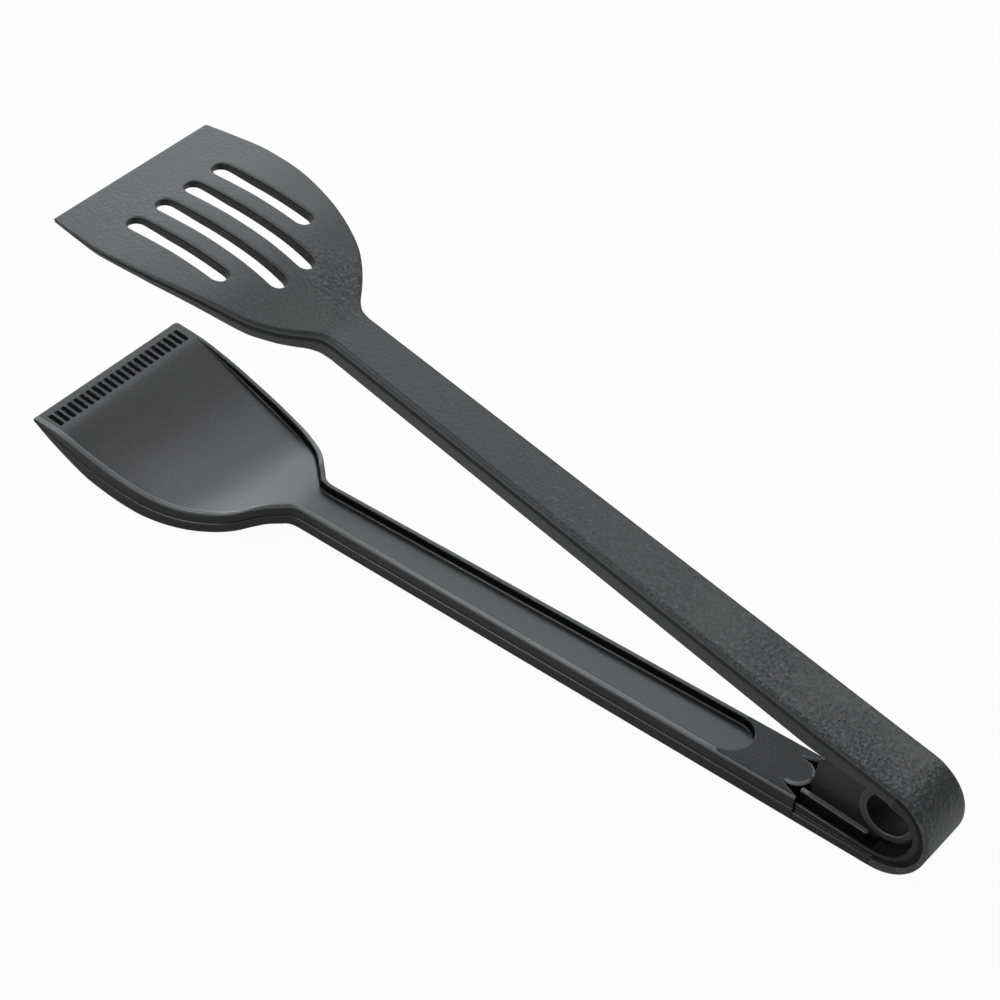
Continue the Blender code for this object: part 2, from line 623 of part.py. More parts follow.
def make_upper_arm(parent):
    """Slotted turner and its arm, drawn from the bend's axis."""
    stations = [SEAM, TURNER_ROOT_LENGTH / 4, TURNER_ROOT_LENGTH / 2, TURNER_ROOT_LENGTH * 3 / 4, TURNER_ROOT_LENGTH]
    stations += head_stations(TURNER_START, TURNER_REACH)
    arm = loft("upper_arm", [turner_section(x) for x in stations], parent, STEPPED_SIDE_POINTS)
    cut_turner_channel(arm, parent)
    cut_slots(arm, parent)
    arm.data.materials.append(make_material("nylon_turner", (0.035, 0.036, 0.038), 0.55))
    return arm


# Assembly

def world_points(obj):
    """Corners of an object's evaluated mesh in world space."""
    evaluated = obj.evaluated_get(bpy.context.evaluated_depsgraph_get())
    return [evaluated.matrix_world @ vertex.co for vertex in evaluated.data.vertices]


def stand_on_ground(tongs, pieces):
    """Tilts the tongs until they rest on bend and belly, then centres their box over the origin."""
    bpy.context.view_layer.update()
    tilts = []
    for point in world_points(pieces["lower_arm"]):
        if point.x < BELLY_START_X:
            continue
        x, z = point.x - BEND_RADIUS, point.z - BEND_RADIUS
        tilts.append(math.atan2(z, x) + math.asin(BEND_RADIUS / math.hypot(x, z)))
    tongs.rotation_euler = (0, min(tilts), 0)
    bpy.context.view_layer.update()
    points = [point for piece in pieces.values() for point in world_points(piece)]
    middle = [(min(p[i] for p in points) + max(p[i] for p in points)) / 2 for i in (0, 1)]
    tongs.location = (-middle[0], -middle[1], -min(p.z for p in points))
    bpy.context.view_layer.update()


def make_tongs():
    """Builds the four pieces under two empties: the tongs and the jaw's axis."""
    for obj in list(bpy.data.objects):
        bpy.data.objects.remove(obj, do_unlink=True)
    tongs = bpy.data.objects.new("tongs", None)
    jaw = bpy.data.objects.new("jaw_axis", None)
    for empty in (tongs, jaw):
        bpy.context.collection.objects.link(empty)
    jaw.parent = tongs
    jaw.location = (BEND_RADIUS, 0, BEND_RADIUS)
    jaw.rotation_euler = (0, -OPENING_ANGLE, 0)
    pieces = {"lower_arm": make_lower_arm(tongs), "tail": make_tail(tongs), "bend_spring": make_bend(tongs),
              "upper_arm": make_upper_arm(jaw)}
    stand_on_ground(tongs, pieces)


make_tongs()
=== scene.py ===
"""Looks of a pair of kitchen tongs in black nylon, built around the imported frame.

Metres. The shapes are drawn in the back frame: x runs from the bend's outermost line towards the jaws,
y across the arms and z up from the scoop arm's back. The turner's arm is drawn in the jaw frame, whose
origin is on the bend's axis. Both are then laid on the floor as the frame has them.
"""

import logging
import math
from collections.abc import Callable, Iterable, Sequence
from dataclasses import dataclass, field
from enum import Enum, IntEnum
from typing import ClassVar

import bmesh
import bpy
from mathutils import Matrix, Vector


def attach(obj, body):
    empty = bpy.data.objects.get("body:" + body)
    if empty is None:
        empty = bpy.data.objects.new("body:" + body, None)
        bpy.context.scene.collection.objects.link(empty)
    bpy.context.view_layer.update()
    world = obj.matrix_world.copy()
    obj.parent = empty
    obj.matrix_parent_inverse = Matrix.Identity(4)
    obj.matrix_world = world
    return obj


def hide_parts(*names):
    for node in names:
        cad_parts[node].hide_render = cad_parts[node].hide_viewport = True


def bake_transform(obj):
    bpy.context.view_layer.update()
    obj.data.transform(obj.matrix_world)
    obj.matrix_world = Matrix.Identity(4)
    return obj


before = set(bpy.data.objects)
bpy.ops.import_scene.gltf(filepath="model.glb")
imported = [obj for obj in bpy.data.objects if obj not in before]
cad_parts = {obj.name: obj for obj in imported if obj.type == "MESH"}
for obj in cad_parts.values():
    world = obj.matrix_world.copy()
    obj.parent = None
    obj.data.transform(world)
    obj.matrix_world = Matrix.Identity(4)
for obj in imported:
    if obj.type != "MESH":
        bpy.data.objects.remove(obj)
LOG = logging.getLogger("tongs")

Point = tuple[float, float]
Triple = tuple[float, float, float]
Test = Callable[[Vector, Vector], bool]
QUARTER = math.pi / 2


# Curves and helpers

@dataclass(frozen=True)
class Curve:
    """Smooth curve through a few (share along, share up) points, without overshoot between them."""

    points: tuple[Point, ...]

    @staticmethod
    def tangent(k: int, slopes: Sequence[float]) -> float:
        """Slope of the curve at one of its points.

        Args:
            k: The point's number.
            slopes: Slopes of the straight lines between the points.

        Returns:
            The slope, which is level where the curve turns.
        """
        if k in (0, len(slopes)):
            return slopes[min(k, len(slopes) - 1)]
        before, after = slopes[k - 1], slopes[k]
        return 2 * before * after / (before + after) if before * after > 0 else 0.0

    def at(self, t: float) -> float:
        """Height of the curve.

        Args:
            t: Place along the curve, held to its ends.

        Returns:
            The height at t.
        """
        p = self.points
        t = min(max(t, p[0][0]), p[-1][0])
        slopes = [(b[1] - a[1]) / (b[0] - a[0]) for a, b in zip(p, p[1:])]
        i = max(k for k in range(len(slopes)) if p[k][0] <= t or k == 0)
        span, rise = p[i + 1][0] - p[i][0], p[i + 1][1] - p[i][1]
        u = (t - p[i][0]) / span
        start, end = self.tangent(i, slopes) * span, self.tangent(i + 1, slopes) * span
        return p[i][1] + start * u + (3 * rise - 2 * start - end) * u ** 2 + (start + end - 2 * rise) * u ** 3


def ease(t: float) -> float:
    """0 to 1 with level ends."""
    t = min(max(t, 0.0), 1.0)
    return t * t * (3 - 2 * t)


def share_along(x: float, start: float, end: float) -> float:
    """Where x lies between start and end, held to 0..1."""
    return min(max((x - start) / (end - start), 0.0), 1.0)


def mix(a: float, b: float, share: float) -> float:
    """The value share of the way from a to b."""
    return a + (b - a) * share


def steps(start: float, end: float, size: float) -> list[float]:
    """Places from start to end, both included, no further apart than size."""
    count = max(1, math.ceil((end - start) / size - 1e-9))
    return [mix(start, end, i / count) for i in range(count + 1)]


def quarter(count: int) -> list[float]:
    """Angles of a quarter turn in that many steps, both ends included."""
    return [QUARTER * i / count for i in range(count + 1)]


def mirrored(points: Sequence[Vector]) -> list[Vector]:
    """The same points on the far side."""
    return [Vector((p.x, -p.y, p.z)) for p in points]


# Meshes

class Zone(Enum):
    """Which finish a face of a moulding takes."""

    OUTER = 0
    SIDE = 1
    INNER = 2
    GROOVE = 3
    EDGE = 4
    RIDGE = 5


def object_from(name: str, bm: bmesh.types.BMesh, angle: float = math.radians(50)) -> bpy.types.Object:
    """Object from a bmesh, faces outward, smooth but for edges sharper than angle.

    Args:
        name: The object's name.
        bm: The shape, which is freed.
        angle: Edges that turn further than this stay sharp.

    Returns:
        The linked object.
    """
    bmesh.ops.recalc_face_normals(bm, faces=bm.faces)
    mesh = bpy.data.meshes.new(name)
    bm.to_mesh(mesh)
    bm.free()
    mesh.shade_smooth()
    mesh.set_sharp_from_angle(angle=angle)
    return linked(name, mesh)


def linked(name: str, data: bpy.types.ID) -> bpy.types.Object:
    """A new object in the scene.

    Args:
        name: Its name.
        data: Its mesh, light or camera.

    Returns:
        The object.
    """
    obj = bpy.data.objects.new(name, data)
    bpy.context.collection.objects.link(obj)
    return obj


def band(bm: bmesh.types.BMesh, a: Sequence[bmesh.types.BMVert],
         b: Sequence[bmesh.types.BMVert]) -> list[bmesh.types.BMFace]:
    """Quads between two rings of as many vertices.

    Args:
        bm: The shape that gets them.
        a: One ring.
        b: The next ring.

    Returns:
        The quads, in the order of the rings.
    """
    after = [*range(1, len(a)), 0]
    return [bm.faces.new((a[i], a[j], b[j], b[i])) for i, j in enumerate(after)]


def facet(bm: bmesh.types.BMesh, corners: Sequence[bmesh.types.BMVert]) -> None:
    """A flat face in triangles."""
    bmesh.ops.triangulate(bm, faces=[bm.faces.new(corners)])


def sew(bm: bmesh.types.BMesh, rings: Sequence[Sequence[bmesh.types.BMVert]]) -> None:
    """Closed tube through rings of as many vertices each, with flat ends, in triangles.

    Args:
        bm: The shape that gets the tube.
        rings: The rings in order.
    """
    faces = [face for a, b in zip(rings, rings[1:]) for face in band(bm, a, b)]
    faces += [bm.faces.new(rings[0]), bm.faces.new(rings[-1])]
    bmesh.ops.triangulate(bm, faces=faces)


def slab(name: str, outline: Sequence[Point], half_width: float, soft: float) -> bpy.types.Object:
    """Upright plate over an outline in x and z, with rounded edges.

    Args:
        name: The object's name.
        outline: The plate's outline.
        half_width: Half its thickness, across y.
        soft: Radius of its edges.

    Returns:
        The object.
    """
    bm = bmesh.new()
    face = bm.faces.new([bm.verts.new((x, -half_width, z)) for x, z in outline])
    made = bmesh.ops.extrude_face_region(bm, geom=[face])
    for item in made["geom"]:
        if isinstance(item, bmesh.types.BMVert):
            item.co.y = half_width
    edges = [e for e in bm.edges if abs(e.verts[0].co.y - e.verts[1].co.y) < 1e-9]
    bmesh.ops.recalc_face_normals(bm, faces=bm.faces)
    bmesh.ops.bevel(bm, geom=edges, offset=soft, segments=3, profile=0.5, affect="EDGES", clamp_overlap=True)
    return object_from(name, bm)


def bake(obj: bpy.types.Object) -> None:
    """Applies an object's modifiers to its mesh.

    Args:
        obj: The object, which is left without modifiers.
    """
    bpy.context.view_layer.update()
    evaluated = obj.evaluated_get(bpy.context.evaluated_depsgraph_get())
    mesh = bpy.data.meshes.new_from_object(evaluated, preserve_all_data_layers=True,
                                           depsgraph=bpy.context.evaluated_depsgraph_get())
    obj.modifiers.clear()
    old = obj.data
    obj.data = mesh
    bpy.data.meshes.remove(old)
    mesh.name = obj.name


def carve(obj: bpy.types.Object, cutter: bpy.types.Object) -> None:
    """Cuts one shape out of another.

    Args:
        obj: The shape that is cut.
        cutter: The shape that is taken out, and then removed.
    """
    modifier = obj.modifiers.new("carve", "BOOLEAN")
    modifier.operation, modifier.solver, modifier.object = "DIFFERENCE", "EXACT", cutter
    bake(obj)
    bpy.data.objects.remove(cutter, do_unlink=True)


def even_normals(obj: bpy.types.Object) -> None:
    """Lets the large faces set the shading, so that flats stay flat beside their rounded edges.

    Args:
        obj: The piece.
    """
    modifier = obj.modifiers.new("even_normals", "WEIGHTED_NORMAL")
    modifier.mode, modifier.weight, modifier.keep_sharp = "FACE_AREA", 50, True
    bake(obj)


def mark(obj: bpy.types.Object, zone: Zone, wanted: Test) -> None:
    """Puts some faces of a moulding in another zone.

    Args:
        obj: The moulding.
        zone: The zone of those faces.
        wanted: Whether a face with that middle and normal is one of them.
    """
    for face in obj.data.polygons:
        if wanted(face.center, face.normal):
            face.material_index = zone.value


def part_of(whole: bpy.types.Object, name: str, wanted: Callable[[Vector], bool]) -> bpy.types.Object:
    """A piece of a moulding that keeps the whole one's shading at its borders.

    Args:
        whole: The moulding.
        name: The piece's name.
        wanted: Whether a face with that middle belongs to the piece.

    Returns:
        The new object.
    """
    source = whole.data
    normals = source.corner_normals
    index: dict[int, int] = {}
    points: list[Vector] = []
    faces: list[list[int]] = []
    shading: list[Vector] = []
    zones: list[int] = []
    for face in source.polygons:
        if not wanted(face.center):
            continue
        corners = []
        for vertex in face.vertices:
            if vertex not in index:
                index[vertex] = len(points)
                points.append(source.vertices[vertex].co.copy())
            corners.append(index[vertex])
        faces.append(corners)
        zones.append(face.material_index)
        shading += [normals[i].vector.copy() for i in face.loop_indices]
    mesh = bpy.data.meshes.new(name)
    mesh.from_pydata(points, [], faces)
    mesh.polygons.foreach_set("material_index", zones)
    mesh.shade_smooth()
    mesh.normals_split_custom_set(shading)
    return linked(name, mesh)


# Sections and rings of a moulding

@dataclass(frozen=True)
class ArmSizes:
    """Sizes of the two arms' common form."""

    half_width_rear: float = 0.01016
    half_width_front: float = 0.00803
    taper_length: float = 0.212
    rim_width: float = 0.0012
    ledge_width: float = 0.00095
    channel_depth: float = 0.0035
    bend_radius: float = 0.0155
    opening: float = math.radians(13.0)

    def half_width(self, x: float) -> float:
        """Half-width of the straight arm's plate at x in the back frame."""
        return mix(self.half_width_rear, self.half_width_front, x / self.taper_length)


ARM = ArmSizes()


@dataclass(frozen=True)
class Placing:
    """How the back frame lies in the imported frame."""

    tilt: float = math.radians(-1.4038936238688169)
    shift: Triple = (-0.15008677542209625, 0.0, -0.0003750990144908428)

    def back(self) -> Matrix:
        """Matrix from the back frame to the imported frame."""
        return Matrix.Translation(self.shift) @ Matrix.Rotation(self.tilt, 4, "Y")


def jaw_in_back() -> Matrix:
    """Matrix from the jaw frame to the back frame."""
    radius = ARM.bend_radius
    return Matrix.Translation((radius, 0, radius)) @ Matrix.Rotation(-ARM.opening, 4, "Y")


class Column(IntEnum):
    """First point of each stretch of a half-section, counted from the outer face's middle."""

    EDGE = 13
    STEP = 18
    CORNER = 21
    RUN = 24
    RIM = 29
    INNER_RIM = 34
    FOOT = 39


@dataclass(frozen=True)
class Section:
    """Cross-section of an arm: a plate with a narrower, hollow web on it.

    Plate, web and room are half-widths, and ledge, rim and floor depths inward from the outer face. Slant
    stretches what is measured square to the outline to its width across the arm.
    """

    plate: float
    web: float
    room: float
    ledge: float
    rim: float
    floor: float
    slant: float = 1.0
    sag: float = 0.00004
    floor_sag: float = 0.00003
    edge_round: float = 0.0006
    step_round: float = 0.0003
    corner_round: float = 0.0002
    rim_round: float = 0.00045
    inner_round: float = 0.00045
    foot_round: float = 0.0007
    groove: float = 0.0
    groove_run: float = 0.0016

    FLAT: ClassVar[int] = Column.EDGE - 1
    RUN_SHARES: ClassVar[tuple[float, ...]] = (0.3, 0.5, 0.7, 0.85, 1.0)

    def radii(self) -> tuple[float, float, float, float, float, float]:
        """Radii of the roundings, each within a share of the walls that it joins.

        Returns:
            Those of the edge, the step, its corner, the rim outside, the rim inside and the foot.
        """
        well = self.rim - self.floor
        shelf = (self.plate - self.web) / self.slant
        wall = (self.web - self.room) / self.slant
        edge = min(self.edge_round, 0.7 * self.ledge)
        step = min(self.step_round, 0.85 * shelf, 0.25 * self.ledge)
        corner = min(self.corner_round, 0.95 * shelf - step, 0.3 * (self.rim - self.ledge))
        top = min(self.rim_round, 0.45 * wall, 0.25 * (self.rim - self.ledge))
        inner = min(self.inner_round, 0.5 * wall, 0.45 * well)
        return edge, step, corner, top, inner, min(self.foot_round, 0.5 * well)

    def outside(self) -> list[Point]:
        """The section from the middle of the outer face to the top of the rim.

        Returns:
            Points (y, depth).
        """
        k = self.slant
        edge, step, corner, top, _, _ = self.radii()
        shelf, sunk = self.plate - edge * k, self.web - self.groove * k
        run = min(self.groove_run, 0.5 * (self.rim - self.ledge))
        points = [(shelf * i / self.FLAT, -self.sag * (1 - (shelf * i / self.FLAT / self.plate) ** 2))
                  for i in range(self.FLAT + 1)]
        points += [(self.plate - edge * k * (1 - math.sin(a)), edge * (1 - math.cos(a)))
                   for a in quarter(5)[1:]]
        points += [(self.plate - step * k * (1 - math.cos(a)), self.ledge - step * (1 - math.sin(a)))
                   for a in quarter(2)]
        points += [(sunk + corner * k * (1 - math.sin(a)), self.ledge + corner * (1 - math.cos(a)))
                   for a in quarter(2)]
        points += [(sunk + self.groove * k * ease(t), self.ledge + corner + run * t) for t in self.RUN_SHARES]
        points += [(self.web - top * k * (1 - math.cos(a)), self.rim - top * (1 - math.sin(a)))
                   for a in quarter(4)]
        return points

    def inside(self) -> list[Point]:
        """The section from the top of the rim to the foot of its inner wall.

        Returns:
            Points (distance from the room's middle, depth).
        """
        k = self.slant
        _, _, _, _, inner, foot = self.radii()
        points = [(self.room + inner * k * (1 - math.sin(a)), self.rim - inner * (1 - math.cos(a)))
                  for a in quarter(4)]
        points += [(self.room - foot * k * (1 - math.cos(a)), self.floor + foot * (1 - math.sin(a)))
                   for a in quarter(4)]
        return points

    def half(self) -> list[Point]:
        """The whole half-section.

        Returns:
            Points (y, depth) from the outer face's middle to the floor's middle.
        """
        inside = self.inside()
        last = inside[-1][0]
        floor = [(last * (1 - j / self.FLAT), self.floor - self.floor_sag * (1 - (1 - j / self.FLAT) ** 2))
                 for j in range(1, self.FLAT + 1)]
        return self.outside() + inside + floor


class Skin:
    """A moulding's surface, gathered as rings of points and closed at its ends."""

    MERGE: ClassVar[float] = 1e-7

    def __init__(self, name: str) -> None:
        """Starts an empty surface with that name."""
        self.name, self.bm = name, bmesh.new()
        self.rings: list[list[bmesh.types.BMVert]] = []

    def ring(self, near: Sequence[Vector], far: Sequence[Vector] | None = None) -> None:
        """Adds one ring.

        Args:
            near: Points of the near half, from the outer face's middle to the floor's middle.
            far: Points of the far half in the same order, or nothing where it mirrors the near one.
        """
        if far is None:
            far = mirrored(near)
        points = list(near) + list(reversed(far[1:-1]))
        self.rings.append([self.bm.verts.new(p) for p in points])

    def close(self, zones: Sequence[tuple[int, Zone]], first: bool = True,
              far_without_highlight: Sequence[int] = ()) -> None:
        """Joins the rings with quads and closes the ends.

        Args:
            zones: (first column, zone) of each stretch of the half-section, from the outer face on.
            first: Whether the first end is closed.
            far_without_highlight: Columns that take the inner finish on the far half, which keeps the painted
                highlight off them there.
        """
        count = len(self.rings[0])
        half = count // 2
        near = [[zone for start, zone in zones if start <= k][-1].value for k in range(half + 1)]
        far = [Zone.INNER.value if k in far_without_highlight else zone for k, zone in enumerate(near)]
        for a, b in zip(self.rings, self.rings[1:]):
            for i, face in enumerate(band(self.bm, a, b)):
                face.material_index = near[i] if i < half else far[count - 1 - i]
        for wanted, ring in ((first, self.rings[0]), (True, self.rings[-1])):
            if wanted:
                face = self.bm.faces.new(ring)
                face.material_index = Zone.SIDE.value
                bmesh.ops.triangulate(self.bm, faces=[face])

    def finish(self) -> bpy.types.Object:
        """Turns the surface into a smooth object."""
        bmesh.ops.remove_doubles(self.bm, verts=self.bm.verts, dist=self.MERGE)
        return object_from(self.name, self.bm)


@dataclass
class Moulding:
    """What both mouldings share: an arm that widens into a flat head, which ends in a thin lip."""

    reach: float
    length: float
    half_width: float
    outline: Curve
    origin: float = 0.0
    ledge_share_at_lip: float = 0.35
    lip_round: float = 0.00035

    ARM_STEP: ClassVar[float] = 0.012
    NECK_STEP: ClassVar[float] = 0.0011
    HEAD_STEP: ClassVar[float] = 0.0021
    NECK_LEAD: ClassVar[float] = 0.004
    NECK_RUN: ClassVar[float] = 0.022
    SLOPE_SPAN: ClassVar[float] = 0.0006
    SLOPE_END: ClassVar[float] = 0.001
    LIP_TURNS: ClassVar[tuple[float, ...]] = (0.35, 0.7, 0.95)

    def start(self) -> float:
        """Where the arm starts to widen into its head."""
        return self.reach - self.length

    def plate_half(self, x: float) -> float:
        """Half-width of the plate, arm and head together."""
        neck = ARM.half_width(min(x, self.start()) + self.origin)
        return mix(neck, self.half_width, self.outline.at(share_along(x, self.start(), self.reach)))

    def slant(self, x: float) -> float:
        """Factor that turns a distance square to the outline into one across the arm.

        Args:
            x: Place along the arm.

        Returns:
            The factor, which is 1 where the outline runs straight along.
        """
        x, span = min(x, self.reach - self.SLOPE_END), self.SLOPE_SPAN
        slope = (self.plate_half(x + span) - self.plate_half(x - span)) / (2 * span)
        return math.sqrt(1 + slope * slope)

    def ledge_share(self, depth: float, full: float) -> float:
        """Share of the ledge's full width at a depth, where full is the straight arm's depth."""
        return self.ledge_share_at_lip + (1 - self.ledge_share_at_lip) * min(depth / full, 1)

    def ring_at(self, skin: Skin, x: float, inset: float = 0.0) -> None:
        """One ring at x, drawn in by inset all round."""
        raise NotImplementedError

    def places_to_head(self, first: float) -> list[float]:
        """Places of the rings along the arm and over its neck.

        Args:
            first: The first place.

        Returns:
            The places, up to where the head's own begin.
        """
        lead, run = self.start() - self.NECK_LEAD, self.start() + self.NECK_RUN
        return steps(first, lead, self.ARM_STEP)[:-1] + steps(lead, run, self.NECK_STEP)[:-1]

    def rings_to_lip(self, skin: Skin, places: Sequence[float]) -> None:
        """Rings up to the lip, whose edge is rounded.

        Args:
            skin: The surface that gets them.
            places: Places of the rings before the lip's rounding.
        """
        for x in places:
            self.ring_at(skin, x)
        for share in self.LIP_TURNS:
            inset = self.lip_round * (1 - math.cos(QUARTER * share))
            self.ring_at(skin, self.reach - self.lip_round * (1 - math.sin(QUARTER * share)), inset)


# Finishes

class Groups:
    """Shader node groups that several finishes share, each built once."""

    made: ClassVar[dict[str, bpy.types.NodeTree]] = {}

    @classmethod
    def get(cls, name: str) -> bpy.types.NodeTree:
        """The group of that name, built when it is first asked for.

        Args:
            name: The group's name.

        Returns:
            Its tree.
        """
        if name not in cls.made:
            cls.made[name] = {"moulded_grain": cls.moulded_grain, "moulded_tone": cls.moulded_tone}[name]()
        return cls.made[name]

    @staticmethod
    def start(name: str, inputs: Iterable[tuple[str, str, float | None]], outputs: Iterable[tuple[str, str]]
              ) -> tuple[bpy.types.NodeTree, bpy.types.Node, bpy.types.Node]:
        """An empty group with its sockets.

        Args:
            name: The group's name.
            inputs: (name, type, default) of each input.
            outputs: (name, type) of each output.

        Returns:
            The tree, its input node and its output node.
        """
        tree = bpy.data.node_groups.new(name, "ShaderNodeTree")
        for label, kind, value in inputs:
            socket = tree.interface.new_socket(label, in_out="INPUT", socket_type="NodeSocket" + kind)
            if value is not None:
                socket.default_value = value
        for label, kind in outputs:
            tree.interface.new_socket(label, in_out="OUTPUT", socket_type="NodeSocket" + kind)
        return tree, tree.nodes.new("NodeGroupInput"), tree.nodes.new("NodeGroupOutput")

    @classmethod
    def moulded_grain(cls) -> bpy.types.NodeTree:
        """Height of spark-eroded grain: fine rounded pits, stronger in some places than in others.

        Returns:
            The group, which also puts out the share of pale specks, painted glints on the grain's facets.
        """
        tree, into, out = cls.start(
            "moulded_grain",
            [("Position", "Vector", None), ("Grains per metre", "Float", 1500.0),
             ("Patches per metre", "Float", 30.0), ("Evenness", "Float", 0.5), ("Full at x", "Float", 0.0),
             ("Faint at x", "Float", 0.15), ("Faintness", "Float", 1.0), ("Patch centre", "Vector", None),
             ("Patch radius", "Float", 0.02), ("Patch boost", "Float", 0.0)],
            [("Height", "Float"), ("Sparkle", "Float")])
        n, link = tree.nodes, tree.links.new

        # Pits: rounded cells mixed with fine noise.
        cells = n.new("ShaderNodeTexVoronoi")
        cells.feature = "SMOOTH_F1"
        cells.inputs["Smoothness"].default_value = 0.6
        fine, patches = n.new("ShaderNodeTexNoise"), n.new("ShaderNodeTexNoise")
        fine.inputs["Detail"].default_value = 3.0
        fine.inputs["Roughness"].default_value = 0.6
        patches.inputs["Detail"].default_value = 1.5
        for node, scale in ((cells, "Grains per metre"), (fine, "Grains per metre"),
                            (patches, "Patches per metre")):
            link(into.outputs["Position"], node.inputs["Vector"])
            link(into.outputs[scale], node.inputs["Scale"])
        both = n.new("ShaderNodeMix")
        both.data_type = "FLOAT"
        both.inputs[0].default_value = 0.5
        link(cells.outputs["Distance"], both.inputs[2])
        link(fine.outputs[0], both.inputs[3])

        # How strong they are: patchy, fading along x, and full again in one round patch.
        strength = n.new("ShaderNodeMapRange")
        strength.inputs["From Min"].default_value = 0.35
        strength.inputs["From Max"].default_value = 0.65
        link(patches.outputs[0], strength.inputs["Value"])
        link(into.outputs["Evenness"], strength.inputs["To Min"])
        place, region = n.new("ShaderNodeSeparateXYZ"), n.new("ShaderNodeMapRange")
        region.interpolation_type = "SMOOTHSTEP"
        region.inputs["To Min"].default_value = 1.0
        link(into.outputs["Position"], place.inputs[0])
        link(place.outputs["X"], region.inputs["Value"])
        link(into.outputs["Full at x"], region.inputs["From Min"])
        link(into.outputs["Faint at x"], region.inputs["From Max"])
        link(into.outputs["Faintness"], region.inputs["To Max"])
        reach, patch = n.new("ShaderNodeVectorMath"), n.new("ShaderNodeMapRange")
        region_sum = n.new("ShaderNodeMath")
        reach.operation, region_sum.operation = "DISTANCE", "ADD"
        patch.interpolation_type = "SMOOTHSTEP"
        patch.inputs["To Max"].default_value = 0.0
        link(into.outputs["Position"], reach.inputs[0])
        link(into.outputs["Patch centre"], reach.inputs[1])
        link(reach.outputs["Value"], patch.inputs["Value"])
        link(into.outputs["Patch radius"], patch.inputs["From Max"])
        link(into.outputs["Patch boost"], patch.inputs["To Min"])
        link(region.outputs["Result"], region_sum.inputs[0])
        link(patch.outputs["Result"], region_sum.inputs[1])

        # Height and pale specks, both scaled by that strength; the specks are painted glints.
        local, height, glint_speck = (n.new("ShaderNodeMath") for _ in range(3))
        for node in (local, height, glint_speck):
            node.operation = "MULTIPLY"
        link(strength.outputs["Result"], local.inputs[0])
        link(region_sum.outputs[0], local.inputs[1])
        link(both.outputs[0], height.inputs[0])
        link(local.outputs[0], height.inputs[1])
        facets = n.new("ShaderNodeMapRange")
        facets.inputs["From Min"].default_value = 0.5
        facets.inputs["From Max"].default_value = 0.7
        link(fine.outputs[0], facets.inputs["Value"])
        link(facets.outputs["Result"], glint_speck.inputs[0])
        link(local.outputs[0], glint_speck.inputs[1])
        link(height.outputs[0], out.inputs["Height"])
        link(glint_speck.outputs[0], out.inputs["Sparkle"])
        return tree

    @classmethod
    def moulded_tone(cls) -> bpy.types.NodeTree:
        """Slow changes of tone and gloss over a moulding from flow marks, and painted shade along x.

        Returns:
            The group, whose colour can also darken along x as painted shade.
        """
        tree, into, out = cls.start(
            "moulded_tone",
            [("Position", "Vector", None), ("Marks per metre", "Float", 18.0), ("Dark", "Color", None),
             ("Light", "Color", None), ("Roughness low", "Float", 0.4), ("Roughness high", "Float", 0.5),
             ("Shade from x", "Float", 0.0), ("Shade to x", "Float", 0.1), ("Shade", "Float", 1.0)],
            [("Colour", "Color"), ("Roughness", "Float")])
        n, link = tree.nodes, tree.links.new

        # Flow marks, drawn out along the arms.
        stretch = n.new("ShaderNodeVectorMath")
        stretch.operation = "MULTIPLY"
        stretch.inputs[1].default_value = (0.45, 1.0, 1.0)
        link(into.outputs["Position"], stretch.inputs[0])
        marks = n.new("ShaderNodeTexNoise")
        marks.inputs["Detail"].default_value = 5.0
        marks.inputs["Roughness"].default_value = 0.55
        link(stretch.outputs[0], marks.inputs["Vector"])
        link(into.outputs["Marks per metre"], marks.inputs["Scale"])
        level = n.new("ShaderNodeMapRange")
        level.inputs["From Min"].default_value = 0.3
        level.inputs["From Max"].default_value = 0.7
        link(marks.outputs[0], level.inputs["Value"])
        colour = n.new("ShaderNodeMix")
        colour.data_type = "RGBA"
        link(level.outputs["Result"], colour.inputs[0])
        link(into.outputs["Dark"], colour.inputs[6])
        link(into.outputs["Light"], colour.inputs[7])

        # Painted shade: the colour darkens along x.
        place, shade = n.new("ShaderNodeSeparateXYZ"), n.new("ShaderNodeMapRange")
        shaded = n.new("ShaderNodeVectorMath")
        shade.interpolation_type, shaded.operation = "SMOOTHSTEP", "SCALE"
        shade.inputs["To Min"].default_value = 1.0
        link(into.outputs["Position"], place.inputs[0])
        link(place.outputs["X"], shade.inputs["Value"])
        link(into.outputs["Shade from x"], shade.inputs["From Min"])
        link(into.outputs["Shade to x"], shade.inputs["From Max"])
        link(into.outputs["Shade"], shade.inputs["To Max"])
        link(colour.outputs[2], shaded.inputs[0])
        link(shade.outputs["Result"], shaded.inputs["Scale"])

        # Gloss follows the marks.
        gloss = n.new("ShaderNodeMapRange")
        link(level.outputs["Result"], gloss.inputs["Value"])
        link(into.outputs["Roughness low"], gloss.inputs["To Min"])
        link(into.outputs["Roughness high"], gloss.inputs["To Max"])
        link(shaded.outputs[0], out.inputs["Colour"])
        link(gloss.outputs["Result"], out.inputs["Roughness"])
        return tree


@dataclass(frozen=True)
class Grain:
    """The mould's grain: how fine, deep and even it is, where it fades along x, and one patch at full."""

    per_metre: float
    depth: float
    strength: float
    evenness: float
    full_at_x: float = -0.15
    faint_at_x: float = 0.15
    faintness: float = 1.0
    patch_centre: Triple = (0.0, 0.0, 0.0)
    patch_radius: float = 0.02
    patch_boost: float = 0.0


@dataclass(frozen=True)
class Shade:
    """Painted shade along x: the full colour at start, and this share of it from end on."""

    start: float = 0.0
    end: float = 0.1
    share: float = 1.0


